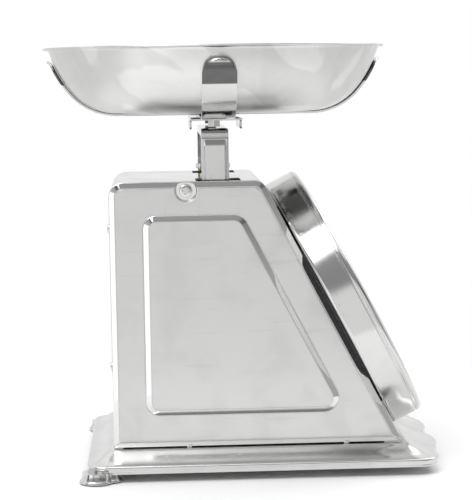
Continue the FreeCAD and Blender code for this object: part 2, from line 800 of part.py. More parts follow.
def makeStrap(gap):
    """One spider strap, running front to back: flat under the bowl, arms up its wall, tips curled out."""
    innerEdges, innerStart, innerEnd = bowlCurve(gap, strapTipAngle)
    outerEdges, outerStart, outerEnd = bowlCurve(gap + strapSheet, strapTipAngle)
    turn = math.radians(strapTipAngle)
    out = Vec(math.cos(turn), -math.sin(turn), 0)
    curlCentre = innerEnd + out * (strapSheet + strapCurlRadius)

    def curlPoint(radius, angle):
        a = math.radians(180 - strapTipAngle - angle)
        return curlCentre + Vec(radius * math.cos(a), radius * math.sin(a), 0)

    farRadius = strapCurlRadius + strapSheet
    innerTip = curlPoint(farRadius, strapCurlAngle)
    outerTip = curlPoint(strapCurlRadius, strapCurlAngle)
    innerMiddle = curlPoint(farRadius, strapCurlAngle / 2)
    outerMiddle = curlPoint(strapCurlRadius, strapCurlAngle / 2)
    edges = innerEdges + [Part.Arc(innerEnd, innerMiddle, innerTip).toShape(),
                          Part.LineSegment(innerTip, outerTip).toShape(),
                          Part.Arc(outerTip, outerMiddle, outerEnd).toShape()]
    edges = edges + outerEdges + [Part.LineSegment(outerStart, innerStart).toShape()]
    profile = Part.Wire(Part.__sortEdges__(edges))
    half = sidePrism(profile, -strapWidth / 2, strapWidth / 2)
    roundHeight = innerTip.y - strapWidth / 2
    reach = 2 * bowlRimRadius
    keep = block(-strapWidth / 2, strapWidth / 2, -1, reach, 0, roundHeight)
    keep = keep.fuse(rod(strapWidth / 2, Vec(0, -1, roundHeight), Vec(0, reach, roundHeight)))
    half = half.common(keep)
    strap = half.fuse(half.mirror(Vec(0, 0, 0), Vec(0, 1, 0))).removeSplitter()
    return strap.cut(rod(hubRivetRadius, Vec(0, 0, 0), Vec(0, 0, bowlFloorHeight)))


def makeUpperStrap():
    strap = makeStrap(upperStrapGap)
    strap.translate(Vec(0, axisY, 0))
    return strap


def makeLowerStrap():
    strap = makeStrap(lowerStrapGap)
    strap.rotate(Vec(0, 0, 0), up, 90)
    strap.translate(Vec(0, axisY, 0))
    for x in (-platformScrewX, platformScrewX):
        strap = strap.cut(rod(screwShank, Vec(x, yokeY, yokeTop), Vec(x, yokeY, bowlFloorHeight)))
    return strap


def makeBowl():
    outerEdges, outerStart, outerEnd = bowlCurve(0, bowlWallAngle)
    innerEdges, innerStart, innerEnd = bowlCurve(-bowlSheet, bowlWallAngle)
    rimTop = outerEnd.y + bowlFlangeSheet
    rimOut = Vec(bowlRimRadius, outerEnd.y, 0)
    rimUp = Vec(bowlRimRadius, rimTop, 0)
    rimIn = Vec(innerEnd.x + bowlSheet, rimTop, 0)
    points = [outerEnd, rimOut, rimUp, rimIn, innerEnd]
    rim = [Part.LineSegment(points[i], points[i + 1]).toShape() for i in range(len(points) - 1)]
    edges = outerEdges + rim + innerEdges + [Part.LineSegment(innerStart, outerStart).toShape()]
    profile = Part.Wire(Part.__sortEdges__(edges))
    turn = FreeCAD.Matrix(1, 0, 0, 0, 0, 0, 1, 0, 0, 1, 0, 0, 0, 0, 0, 1)
    bowl = Part.Face(profile.transformGeometry(turn)).revolve(Vec(0, 0, 0), up, 360)
    bowl.translate(Vec(0, axisY, 0))
    return bowl


# --------------------------------------------------------------- springs and zero adjuster
def makeSpring(side):
    """Extension spring with a ring at each end, hooked through the beam and the crossbar."""
    ringGap = springRingRadius + springWire
    legRadius = springWire * 0.9
    bottom = crossbarTop + ringGap
    top = beamBottom - ringGap
    axisX = side * springX
    height = top - bottom
    helix = Part.makeHelix(height / springTurns, height, springCoilRadius)
    section = Part.Wire(Part.makeCircle(springWire, Vec(springCoilRadius, 0, 0), Vec(0, 1, 0)))
    coil = Part.Wire(helix).makePipeShell([section], True, True)
    coil.translate(Vec(axisX, yokeY, bottom))
    pieces = [coil]
    for ringZ, coilZ in ((crossbarTop, bottom), (beamBottom, top)):
        centre = Vec(axisX, yokeY, ringZ)
        pieces.append(Part.makeTorus(springRingRadius, springWire, centre, Vec(1, 0, 0)))
        outward = 1 if coilZ > ringZ else -1
        start = centre + Vec(0, 0, outward * springRingRadius)
        inner = Vec(axisX, yokeY, coilZ)
        pieces.append(rod(legRadius, start, inner + Vec(0, 0, outward * 0.1)))
        pieces.append(rod(legRadius, inner, inner + Vec(springCoilRadius, 0, 0)))
    return joined(pieces)


def makeZeroBeam():
    """Bar that the springs hang from, with a threaded boss on the zero screw."""
    through = Vec(0, 5, 0)
    beam = block(-beamHalfLength, beamHalfLength, yokeY - beamHalfSheet, yokeY + beamHalfSheet,
                 beamBottom, beamTop)
    beam = beam.fuse(block(-bossHalfWidth, bossHalfWidth, yokeY - bossHalfDepth, yokeY + bossHalfDepth,
                           beamBottom, beamTop))
    for side in (-1, 1):
        hook = Vec(side * springX, yokeY, beamBottom + springRingRadius)
        beam = beam.cut(rod(hookHoleRadius, hook - through, hook + through))
    bore = zeroScrewRadius + runningClearance
    return beam.cut(rod(bore, Vec(0, yokeY, beamBottom - 1), Vec(0, yokeY, beamTop + 1))).removeSplitter()


def makeZeroBushing():
    """Flanged bush fixed in the housing's top, that carries the zero knob."""
    low = Vec(0, yokeY, housingTop - housingSheet - 3.0)
    top = Vec(0, yokeY, housingTop)
    flangeTop = top + up * bushingFlangeHeight
    body = rod(bushingRadius, low, top).fuse(rod(bushingRadius + bushingFlange, top, flangeTop))
    return body.cut(rod(zeroScrewRadius + runningClearance, low - up, flangeTop + up)).removeSplitter()


def makeZeroKnob():
    """Fluted knob with a neck; its screw goes down through the bush and the beam."""
    bottom = Vec(0, yokeY, zeroKnobBottom)
    top = Vec(0, yokeY, zeroKnobTop)
    knob = rod(zeroKnobRadius, bottom, top)
    for i in range(knobGrips):
        turn = 2 * math.pi * i / knobGrips
        edge = Vec(math.cos(turn), math.sin(turn), 0) * (zeroKnobRadius + gripOffset)
        knob = knob.cut(rod(gripRadius, bottom + edge - up, top + edge + up))
    knob = knob.fuse(rod(knobNeckRadius, Vec(0, yokeY, housingTop + knobNeckGap), bottom))
    knob = knob.fuse(rod(zeroScrewRadius, Vec(0, yokeY, beamBottom - 4), bottom))
    return knob.removeSplitter()


def makeZeroCollar():
    """Thrust collar under the bush, pinned to the zero screw."""
    collarHeight = 3.0
    wall = 2.2
    top = Vec(0, yokeY, housingTop - housingSheet - 3.4)
    return tube(zeroScrewRadius + wall, zeroScrewRadius, top - up * collarHeight, top)


def makeStopStud():
    """Headed stud on the base, that carries the rubber stop."""
    headRadius = 6.0
    headTop = Vec(0, yokeY, baseTop - baseSheet)
    headBottom = headTop - up * 2.5
    stud = rod(stopStudRadius, headBottom + up, Vec(0, yokeY, stopStudTop))
    return stud.fuse(rod(headRadius, headBottom, headTop)).removeSplitter()


def makeStopCushion():
    bottom = Vec(0, yokeY, cushionBottom)
    cap = rod(cushionRadius, bottom, Vec(0, yokeY, crossbarBottom - travel - cushionGap))
    return cap.cut(rod(stopStudRadius, bottom - up, Vec(0, yokeY, stopStudTop)))


# --------------------------------------------------------------- rack and pinion
def outlineFace(points, z):
    corners = [Vec(x, y, z) for x, y in points]
    return Part.Face(Part.makePolygon(corners + [corners[0]]))


def makeRack():
    """Straight rack on the dial's right of the pinion, its teeth in line with the spindle."""
    pitch = math.pi * toothModule
    root = pinionPitchRadius + rootDepth
    tip = pinionPitchRadius - tipDepth
    reachDown = 4
    reachUp = math.ceil(travel * slopeCos / pitch) + 3
    yMin = -(reachDown + 0.5) * pitch
    yMax = (reachUp + 0.5) * pitch
    rack = block(root, rackPlateX, yMin, yMax, rackBack, rackFront)
    rootHalf = pitch * toothFactor * 0.72
    tipHalf = pitch * toothFactor * 0.28
    foot = root + 0.1
    for i in range(-reachDown, reachUp + 1):
        centre = (i + 0.5) * pitch
        points = [(foot, centre - rootHalf), (tip, centre - tipHalf), (tip, centre + tipHalf),
                  (foot, centre + rootHalf)]
        rack = rack.fuse(outlineFace(points, rackBack).extrude(up * rackWidth))
    return onDial(rack.removeSplitter())


def rackBracketScrews():
    middle = (crossbarBottom + crossbarTop) / 2
    spacing = 5.0
    return [(yokeY, middle - spacing), (yokeY, middle + spacing)]


def makeRackBracket():
    """Side plate from the crossbar forward to the rack."""
    level = (rackFront + rackBack) / 2
    rackLow = dialPlacement().multVec(Vec(0, -4.0, level))
    rackHigh = dialPlacement().multVec(Vec(0, 13.0, level))
    halfFront = 4.0
    lugReach = 10.0
    low = crossbarBottom + 1
    high = crossbarTop - 1
    corners = [Vec(rackLow.y - halfFront, rackLow.z - 1, 0), Vec(yokeY - 1, low, 0), Vec(yokeY + 5, low, 0),
               Vec(yokeY + 5, high, 0), Vec(rackHigh.y + halfFront, rackHigh.z + 3, 0),
               Vec(rackHigh.y - halfFront + 2, rackHigh.z + 2, 0)]
    outer = rackPlateX + rackPlateSheet
    plate = sidePrism(Part.makePolygon(corners + [corners[0]]), rackPlateX, outer)
    plate = plate.fuse(block(outer, lugReach, yokeY + 1, yokeY + 2.5, low + 1, high - 1))
    slot = block(rackPlateX - 1, outer + 1, yokeY - 1, yokeY + 1, crossbarBottom, crossbarTop)
    return plate.cut(slot).removeSplitter()


def makeSpindle():
    """Pinion and pointer shaft, turned in one piece."""
    pitch = 2 * math.pi / pinionTeeth
    root = pinionPitchRadius - rootDepth
    tip = pinionPitchRadius + tipDepth
    rootHalf = pitch * toothFactor * 0.66
    tipHalf = pitch * toothFactor * 0.26
    length = pinionFront - pinionBack
    foot = root * 0.9
    shaftOver = 2.5
    gear = rod(root, up * pinionBack, up * pinionFront)
    for i in range(pinionTeeth):
        points = []
        for radius, angle in ((foot, -rootHalf), (tip, -tipHalf), (tip, tipHalf), (foot, rootHalf)):
            turn = i * pitch + angle
            points.append((radius * math.cos(turn), radius * math.sin(turn)))
        gear = gear.fuse(outlineFace(points, pinionBack).extrude(up * length))
    shaft = rod(spindleRadius, up * (rearBearing - shaftOver), up * (pointerLevel + 2.0))
    return onDial(gear.fuse(shaft).removeSplitter())


def makePinionBracket():
    """Bent strip behind the dial that holds the rear end of the spindle."""
    wallInside = -dialStandOff - housingSheet
    sheet = 1.5
    footEnd = -24.0
    webX = -10.0
    rearEnd = 5.5
    half = 7.0
    screwX = -18.0
    low = rearBearing - sheet
    foot = block(footEnd, webX, -half, half, wallInside - sheet, wallInside)
    web = block(webX - sheet, webX, -half, half, low, wallInside)
    rear = block(webX - sheet, rearEnd, -half, half, low, rearBearing)
    bracket = joined([foot, web, rear])
    bracket = bracket.cut(rod(spindleRadius + runningClearance, up * (low - 1), up * (rearBearing + 1)))
    screwStart = Vec(screwX, 0, wallInside - sheet - 1)
    bracket = bracket.cut(rod(screwShank, screwStart, Vec(screwX, 0, wallInside + 1)))
    return onDial(bracket)


def makeSpindleBush():
    """Flanged bearing for the spindle, through the housing's front and the drum's floor."""
    low = up * (-dialStandOff - housingSheet - 0.3)
    flangeTop = up * (drumSheet + 1.2)
    body = rod(spindleBushRadius, low, up * drumSheet)
    body = body.fuse(rod(spindleBushRadius + 2, up * drumSheet, flangeTop))
    body = body.cut(rod(spindleRadius + runningClearance, low - up, flangeTop + up))
    return onDial(body.removeSplitter())


# --------------------------------------------------------------- dial
def makeDrum():
    """Shallow round pan behind the dial, open towards the bezel."""
    drum = rod(dialRadius, up * 0, up * drumDepth)
    drum = drum.cut(rod(dialRadius - drumSheet, up * drumSheet, up * (drumDepth + 1)))
    drum = drum.cut(rod(spindleBushRadius, -up, up * (drumSheet + 1)))
    for point in dialScrewPoints(-1):
        drum = drum.cut(rod(screwShank, point, point + up * 5))
    return onDial(drum)


def makeBezel():
    """Ring that closes the drum, rounded over its front edge."""
    outer = dialRadius
    inner = dialRadius - bezelLip
    low = drumDepth + 0.05
    shoulder = bezelTop - bezelCorner
    bendShare = bezelCorner * (1 - math.sqrt(0.5))
    innerLow = Vec(inner, 0, low)
    outerLow = Vec(outer, 0, low)
    outerHigh = Vec(outer, 0, shoulder)
    bend = Vec(outer - bendShare, 0, bezelTop - bendShare)
    topOuter = Vec(outer - bezelCorner, 0, bezelTop)
    topInner = Vec(inner + bezelSlant, 0, bezelTop)
    edges = [Part.LineSegment(innerLow, outerLow).toShape(),
             Part.LineSegment(outerLow, outerHigh).toShape(),
             Part.Arc(outerHigh, bend, topOuter).toShape(), Part.LineSegment(topOuter, topInner).toShape(),
             Part.LineSegment(topInner, innerLow).toShape()]
    return onDial(Part.Face(Part.Wire(edges)).revolve(Vec(0, 0, 0), up, 360))


def insideDrum():
    return dialRadius - drumSheet - 0.2


def makeLens():
    """Clear disc under the bezel."""
    return onDial(rod(insideDrum(), up * lensLevel, up * drumDepth))


def makeGasket():
    """Seal ring between the dial plate and the lens."""
    outer = insideDrum()
    return onDial(tube(outer, outer - gasketWidth, up * (plateLevel + plateSheet), up * lensLevel))


def makeDialPlate():
    boreRadius = 3.0
    plate = rod(insideDrum(), up * plateLevel, up * (plateLevel + plateSheet))
    return onDial(plate.cut(rod(boreRadius, up, up * lensLevel)))


def makePlateRing():
    """Spacer ring that holds the dial plate off the drum's floor."""
    outer = insideDrum()
    return onDial(tube(outer, outer - plateRingWidth, up * drumSheet, up * plateLevel))


def makeDrumPad():
    """Black backing disc that fills the gap between the housing's front and the drum."""
    low = up * -dialStandOff
    pad = rod(drumPadRadius, low, up * 0)
    pad = pad.cut(rod(spindleBushRadius + drumPadPlay, low - up, up))
    for point in dialScrewPoints(-dialStandOff - 1):
        pad = pad.cut(rod(spacerRadius + drumPadPlay, point, point + up * (dialStandOff + 2)))
    return onDial(pad)


def makeDialSpacers():
    shapes = []
    for point in dialScrewPoints(-dialStandOff):
        shapes.append(onDial(tube(spacerRadius, screwShank, point, point + up * dialStandOff)))
    return Part.makeCompound(shapes)


def makeDialScrews():
    one = screw(3.2, 2.0, screwShank, 5.2)
    return Part.makeCompound([onDial(placed(one, point, up)) for point in dialScrewPoints(drumSheet)])


def makePointer():
    """Tapered hand on a round boss, with a short tail, pointing up at no load."""
    tailHalf = 2.2
    hubHalf = 1.8
    tipHalf = 0.4
    sleeveRadius = 2.4
    sleeveHeight = 1.6
    points = [(-tailHalf, -pointerTail), (tailHalf, -pointerTail), (hubHalf, 0), (tipHalf, pointerLength),
              (-tipHalf, pointerLength), (-hubHalf, 0)]
    bottom = up * pointerLevel
    top = up * (pointerLevel + pointerSheet)
    hand = outlineFace(points, pointerLevel).extrude(up * pointerSheet)
    hand = hand.fuse(rod(pointerBoss, bottom, top))
    hand = hand.fuse(rod(sleeveRadius, bottom - up * sleeveHeight, bottom))
    return onDial(hand.cut(rod(spindleRadius, up, top + up)).removeSplitter())


def makePointerCap():
    low = pointerLevel + pointerSheet
    cap = rod(pointerCapRadius, up * low, up * (low + pointerCapHeight))
    cap = cap.cut(rod(spindleRadius, up * (low - 1), up * (pointerLevel + 2.0)))
    return onDial(cap.makeFillet(0.8, [cap.Edges[0]]))


# --------------------------------------------------------------- everything
def allNodes():
    sidePanel = makeSidePanel()
    nodes = {
        "base_plate": makeBasePlate(),
        "base_screws": makeBaseScrews(),
        "housing_wrap": makeHousingWrap(),
        "side_panel_right": sidePanel,
        "side_panel_left": mirrored(sidePanel),
        "side_panel_screws": makeSideScrews(),
        "back_screws": makeBackScrews(),
        "inner_frame": makeInnerFrame(),
        "arm_shaft_upper": makeArmShaft(upperPinHeight),
        "arm_shaft_lower": makeArmShaft(lowerPinHeight),
        "shaft_clips": makeShaftClips(),
        "upper_arm": makeArm(upperPinHeight),
        "lower_arm": makeArm(lowerPinHeight),
        "yoke": makeYoke(),
        "yoke_pins": makeYokePins(),
        "crossbar": makeCrossbar(),
        "crossbar_screws": makeCrossbarScrews(),
        "platform_plate": makePlatformPlate(),
        "spacer_nuts": makeSpacerNuts(),
        "platform_screws": makePlatformScrews(),
        "hub_rivet": makeHubRivet(),
        "spider_strap_upper": makeUpperStrap(),
        "spider_strap_lower": makeLowerStrap(),
        "bowl": makeBowl(),
        "spring_left": makeSpring(-1),
        "spring_right": makeSpring(1),
        "zero_beam": makeZeroBeam(),
        "zero_bushing": makeZeroBushing(),
        "zero_knob": makeZeroKnob(),
        "zero_collar": makeZeroCollar(),
        "stop_stud": makeStopStud(),
        "stop_cushion": makeStopCushion(),
        "rack": makeRack(),
        "rack_bracket": makeRackBracket(),
        "spindle": makeSpindle(),
        "spindle_bushing": makeSpindleBush(),
        "pinion_bracket": makePinionBracket(),
        "dial_drum": makeDrum(),
        "dial_bezel": makeBezel(),
        "dial_lens": makeLens(),
        "lens_gasket": makeGasket(),
        "dial_plate": makeDialPlate(),
        "plate_ring": makePlateRing(),
        "dial_spacers": makeDialSpacers(),
        "drum_pad": makeDrumPad(),
        "dial_screws": makeDialScrews(),
        "pointer": makePointer(),
        "pointer_cap": makePointerCap(),
    }
    for sideX, nameX in ((-1, "left"), (1, "right")):
        for sideY, nameY in ((-1, "front"), (1, "back")):
            nodes["foot_pad_" + nameY + "_" + nameX] = footPad(sideX, sideY)
    return nodes


def main():
    os.makedirs("parts", exist_ok=True)
    whole = FreeCAD.BoundBox()
    for name, shape in allNodes().items():
        shape.exportStep(os.path.join("parts", name + ".step"))
        whole.add(shape.BoundBox)
        state = "ok" if shape.isValid() else "NOT VALID"
        print(name, len(shape.Solids), "solids", round(shape.Volume, 1), "mm3", state)
    print("box", whole)
    print("travel", travel, "yoke Y", yokeY, "dial", dialPlacement().Base)


main()
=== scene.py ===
import json
import math
import bmesh
import bpy
from mathutils import Matrix, Vector


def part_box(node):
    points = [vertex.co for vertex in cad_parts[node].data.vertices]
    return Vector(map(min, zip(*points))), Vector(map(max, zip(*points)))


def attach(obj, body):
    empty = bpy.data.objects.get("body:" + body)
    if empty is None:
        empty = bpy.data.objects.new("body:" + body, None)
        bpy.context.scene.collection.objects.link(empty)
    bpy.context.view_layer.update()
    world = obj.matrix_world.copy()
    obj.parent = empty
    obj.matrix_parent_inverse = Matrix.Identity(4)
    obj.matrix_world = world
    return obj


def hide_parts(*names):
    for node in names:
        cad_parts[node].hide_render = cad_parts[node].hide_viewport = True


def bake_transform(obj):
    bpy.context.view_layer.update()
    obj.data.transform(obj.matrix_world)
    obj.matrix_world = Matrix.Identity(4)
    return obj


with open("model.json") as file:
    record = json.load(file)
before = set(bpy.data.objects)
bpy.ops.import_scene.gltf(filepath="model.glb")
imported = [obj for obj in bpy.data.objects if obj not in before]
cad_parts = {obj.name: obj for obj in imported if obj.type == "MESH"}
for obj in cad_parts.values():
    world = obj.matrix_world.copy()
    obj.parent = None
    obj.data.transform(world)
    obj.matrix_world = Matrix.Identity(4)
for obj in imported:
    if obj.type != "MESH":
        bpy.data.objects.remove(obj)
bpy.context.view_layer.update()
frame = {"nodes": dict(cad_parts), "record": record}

print("frame loaded,", len(frame["nodes"]), "CAD nodes")

sceneNow = bpy.context.scene
toMetres = 0.001


def boxMm(node):
    low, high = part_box(node)
    return low * 1000, high * 1000


def middleOf(node):
    low, high = boxMm(node)
    return (low + high) / 2


def meshFrom(name, points, faces, smooth=True):
    # points are in millimetres, in the row frame
    mesh = bpy.data.meshes.new(name)
    mesh.from_pydata([Vector(p) * toMetres for p in points], [], faces)
    work = bmesh.new()
    work.from_mesh(mesh)
    bmesh.ops.remove_doubles(work, verts=work.verts, dist=1e-6)
    bmesh.ops.recalc_face_normals(work, faces=work.faces)
    work.to_mesh(mesh)
    work.free()
    mesh.polygons.foreach_set("use_smooth", [smooth] * len(mesh.polygons))
    piece = bpy.data.objects.new(name, mesh)
    sceneNow.collection.objects.link(piece)
    return piece


def ringFaces(rings, count):
    faces = []
    for i in range(rings - 1):
        for j in range(count):
            k = (j + 1) % count
            faces.append((i * count + j, i * count + k, (i + 1) * count + k, (i + 1) * count + j))
    return faces


def loopsMesh(name, loops, place):
    # joins loops of equally many 3D points into one closed skin; the first and last are capped
    count = len(loops[0])
    points = [place(p) for loop in loops for p in loop]
    faces = ringFaces(len(loops), count)
    faces.append(tuple(range(count)))
    faces.append(tuple(range((len(loops) - 1) * count, len(loops) * count)))
    return meshFrom(name, points, faces)


def spun(name, profile, place, steps=160):
    # a profile of (radius, height), spun once around local Z; it may start and end on the axis
    points, faces = [], []
    for r, z in profile:
        for j in range(steps):
            a = 2 * math.pi * j / steps
            points.append(place((r * math.cos(a), r * math.sin(a), z)))
    faces = ringFaces(len(profile), steps)
    if profile[0] != profile[-1]:
        if profile[0][0] > 1e-6:
            faces.append(tuple(range(steps)))
        if profile[-1][0] > 1e-6:
            faces.append(tuple(range((len(profile) - 1) * steps, len(profile) * steps)))
    return meshFrom(name, points, faces)


def arc(centre, radius, start, end, steps):
    out = []
    for i in range(steps + 1):
        a = math.radians(start + (end - start) * i / steps)
        out.append((centre[0] + radius * math.cos(a), centre[1] + radius * math.sin(a)))
    return out


def softened(profile, radius, steps):
    # rounds every inner corner of an open profile of (radius, height)
    points = [Vector(p) for p in profile]
    out = [points[0]]
    for before, here, after in zip(points, points[1:], points[2:]):
        back, ahead = before - here, after - here
        reach = min(radius, back.length * 0.45, ahead.length * 0.45)
        a = here + back.normalized() * reach
        b = here + ahead.normalized() * reach
        for k in range(steps + 1):
            t = k / steps
            out.append(a * (1 - t) ** 2 + here * 2 * t * (1 - t) + b * t ** 2)
    out.append(points[-1])
    return [(p.x, p.y) for p in out]


def insetCorners(corners, distance):
    moved = []
    count = len(corners)
    for i in range(count):
        here = corners[i]
        a = (here - corners[i - 1]).normalized()
        b = (corners[(i + 1) % count] - here).normalized()
        normalA, normalB = Vector((-a.y, a.x)), Vector((-b.y, b.x))
        moved.append(here + (normalA + normalB) * (distance / (1 + normalA.dot(normalB))))
    return moved


def roundedOutline(corners, radii, arcSteps=10, sideSteps=1):
    # counter-clockwise corners, each rounded by its own radius
    out = []
    count = len(corners)
    ends = []
    for i, here in enumerate(corners):
        back = (corners[i - 1] - here).normalized()
        ahead = (corners[(i + 1) % count] - here).normalized()
        half = back.angle(ahead) / 2
        reach = radii[i] / math.tan(half)
        centre = here + (back + ahead).normalized() * (radii[i] / math.sin(half))
        start, end = here + back * reach - centre, here + ahead * reach - centre
        turn = start.angle_signed(end)
        bend = []
        for k in range(arcSteps + 1):
            spin = Matrix.Rotation(-turn * k / arcSteps, 2)
            bend.append(centre + spin @ start)
        ends.append(bend)
    for i in range(count):
        out.extend(ends[i])
        a, b = ends[i][-1], ends[(i + 1) % count][0]
        for k in range(1, sideSteps):
            out.append(a.lerp(b, k / sideSteps))
    return out


def hardEdges(piece, angle=32):
    # keeps flats flat: weighted normals, and sharp only where the sheet really folds
    piece.data.set_sharp_from_angle(angle=math.radians(angle))
    weigh = piece.modifiers.new("flats", "WEIGHTED_NORMAL")
    weigh.keep_sharp = True
    weigh.weight = 90
    return piece


def carve(piece, cutter, how="DIFFERENCE"):
    cut = piece.modifiers.new("cut", "BOOLEAN")
    cut.operation = how
    cut.solver = "EXACT"
    cut.object = cutter
    applied(piece)
    bpy.data.objects.remove(cutter)
    return piece


def applied(piece):
    graph = bpy.context.evaluated_depsgraph_get()
    graph.update()
    mesh = bpy.data.meshes.new_from_object(piece.evaluated_get(graph))
    piece.modifiers.clear()
    piece.data = mesh
    return piece


def settle(piece, body, material, slot, *nodes):
    piece.data.materials.clear()
    piece.data.materials.append(material)
    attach(piece, body)
    if nodes:
        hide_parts(*nodes)
    return piece


class Value:
    # one output of a shader node, with ordinary arithmetic
    def __init__(self, tree, socket):
        self.tree = tree
        self.socket = socket

    def maths(self, operation, *others):
        node = self.tree.nodes.new("ShaderNodeMath")
        node.operation = operation
        for i, part in enumerate((self,) + others):
            plug(self.tree, node.inputs[i], part)
        return Value(self.tree, node.outputs[0])

    def flipped(self, operation, other):
        node = self.tree.nodes.new("ShaderNodeMath")
        node.operation = operation
        plug(self.tree, node.inputs[0], other)
        plug(self.tree, node.inputs[1], self)
        return Value(self.tree, node.outputs[0])

    def __add__(self, other):
        return self.maths("ADD", other)

    def __radd__(self, other):
        return self.flipped("ADD", other)

    def __sub__(self, other):
        return self.maths("SUBTRACT", other)

    def __rsub__(self, other):
        return self.flipped("SUBTRACT", other)

    def __mul__(self, other):
        return self.maths("MULTIPLY", other)

    def __rmul__(self, other):
        return self.flipped("MULTIPLY", other)

    def __truediv__(self, other):
        return self.maths("DIVIDE", other)

    def between(self, low, high):
        # 0 below low, 1 above high, smooth between
        node = self.tree.nodes.new("ShaderNodeMapRange")
        node.interpolation_type = "SMOOTHSTEP"
        plug(self.tree, node.inputs["Value"], self)
        node.inputs["From Min"].default_value = low
        node.inputs["From Max"].default_value = high
        return Value(self.tree, node.outputs[0])


def plug(tree, socket, part):
    if isinstance(part, Value):
        tree.links.new(part.socket, socket)
    else:
        socket.default_value = part


class Finish:
    # a material being built; node() adds any node, its settings first, then its inputs
    def __init__(self, name):
        self.material = bpy.data.materials.new(name)
        self.material.use_nodes = True
        self.tree = self.material.node_tree
        self.surface = self.tree.nodes["Principled BSDF"]
        self.place = self.node("ShaderNodeTexCoord", out="Object")

    def node(self, kind, settings=None, out=0, **inputs):
        node = self.tree.nodes.new(kind)
        for key, setting in (settings or {}).items():
            setattr(node, key, setting)
        for key, part in inputs.items():
            plug(self.tree, node.inputs[key.replace("_", " ")], part)
        return Value(self.tree, node.outputs[out])

    def stretched(self, x, y, z):
        return self.node("ShaderNodeMapping", Vector=self.place, Scale=(x, y, z))

    def noise(self, scale, detail=2.0, rough=0.5, place=None, lumps=0.0):
        return self.node("ShaderNodeTexNoise", Vector=place or self.place, Scale=scale, Detail=detail,
                         Roughness=rough, Distortion=lumps)

    def mixed(self, share, first, second):
        node = self.tree.nodes.new("ShaderNodeMix")
        node.data_type = "RGBA"
        plug(self.tree, node.inputs["Factor"], share)
        plug(self.tree, node.inputs[6], first)
        plug(self.tree, node.inputs[7], second)
        return Value(self.tree, node.outputs[2])

    def bump(self, height, strength, distance, under=None):
        inputs = dict(Height=height, Strength=strength, Distance=distance)
        if under:
            inputs["Normal"] = under
        return self.node("ShaderNodeBump", **inputs)

    def use(self, **inputs):
        for key, part in inputs.items():
            plug(self.tree, self.surface.inputs[key.replace("_", " ")], part)
        return self.material


def steel(name, look):
    # grain is the direction of the brushing as a noise stretch; waves is how uneven the sheet lies
    f = Finish(name)
    grain = f.noise(look["grainScale"], 3.0, 0.6, f.stretched(*look["grain"]))
    fine = f.noise(look["grainScale"] * 3.1, 2.0, 0.6, f.stretched(*look["grain"]))
    smudge = f.noise(38.0, 3.0, 0.6, lumps=0.6).between(0.42, 0.72)
    patch = f.noise(11.0, 2.0, 0.5).between(0.3, 0.7)
    cloud = f.noise(13.0, 2.0, 0.4, lumps=1.2).between(0.49, 0.53)
    scratchPlace = f.stretched(*look["scratch"])
    scratch = f.noise(260.0, 1.0, 0.4, scratchPlace).between(0.66, 0.72)
    rough = (look["roughness"] + (grain - 0.5) * look["grainRough"] + smudge * look["smudge"]
             + scratch * 0.08 + patch * look["smudge"] * 0.5)
    wear = smudge * 0.35 + scratch * 0.2 + (grain - 0.5) * look["grainColour"] + cloud * look["cloud"]
    dark = f.mixed(wear, look["colour"] + (1,), look["worn"] + (1,))
    grainBump = look["grainBump"]
    if "polish" in look:
        # pressed edges are bright, flats stay satin
        polish = f.node("ShaderNodeAttribute", {"attribute_name": "polish"}, out="Fac")
        rough = rough * (1 - polish) + polish * (look["polish"] + smudge * 0.03)
        dark = f.mixed(polish, dark, look["edgeColour"] + (1,))
        grainBump = (1 - polish * 0.9) * grainBump
    if "tip" in look:
        # painted reflection: a near-black zone painted on the bent-out ends of the straps, standing in for
        # the dark surroundings they mirror
        height = f.node("ShaderNodeSeparateXYZ", Vector=f.place, out=2)
        low, high = look["tip"]
        ends = height.between(low, low + 0.0008) * (1 - height.between(high - 0.0008, high))
        dark = f.mixed(ends * (0.9 + smudge * 0.1), dark, look["tipColour"] + (1,))
    waves = f.bump(f.noise(16.0, 1.0, 0.4), look["waves"], 0.0006)
    surface = f.bump(grain + fine * 0.6 - scratch * 0.8, grainBump, 0.00002, waves)
    return f.use(Base_Color=dark, Metallic=1.0, Roughness=rough, Normal=surface)


mirrorSteel = {
    "colour": (0.66, 0.66, 0.655),
    "worn": (0.55, 0.55, 0.54),
    "roughness": 0.10,
    "grain": (1, 1, 9),
    "grainScale": 300.0,
    "grainRough": 0.05,
    "grainColour": 0.08,
    "grainBump": 0.12,
    "scratch": (6, 1, 1),
    "smudge": 0.05,
    "waves": 0.12,
    "cloud": 0.0,
}
satinSteel = dict(mirrorSteel, worn=(0.56, 0.56, 0.55), roughness=0.30, grain=(1, 0.03, 1), grainScale=900.0,
                  grainRough=0.10, grainColour=0.22, grainBump=0.45, scratch=(1, 0.08, 1), waves=0.10)
pressedSteel = dict(satinSteel, polish=0.07, edgeColour=(0.74, 0.74, 0.735))
spunSteel = dict(mirrorSteel, colour=(0.72, 0.72, 0.715), worn=(0.60, 0.60, 0.59), roughness=0.30,
                 grain=(1, 1, 24), grainScale=420.0, grainBump=0.2, waves=0.2, cloud=0.8)
stripSteel = dict(mirrorSteel, colour=(0.6, 0.6, 0.595), roughness=0.08)
# painted reflection: the straps get a near-black band painted between these two heights
strapSteel = dict(mirrorSteel, tip=(0.2336, 0.2466), tipColour=(0.075, 0.075, 0.075))
zincSteel = dict(satinSteel, colour=(0.62, 0.63, 0.64), worn=(0.46, 0.46, 0.45), roughness=0.42, smudge=0.12)
platedSteel = dict(mirrorSteel, colour=(0.72, 0.72, 0.71), roughness=0.2, grainBump=0.3)
springSteel = dict(mirrorSteel, colour=(0.5, 0.5, 0.5), worn=(0.32, 0.31, 0.3), roughness=0.28)
brassLook = dict(mirrorSteel, colour=(0.78, 0.6, 0.28), worn=(0.6, 0.44, 0.2), roughness=0.26)

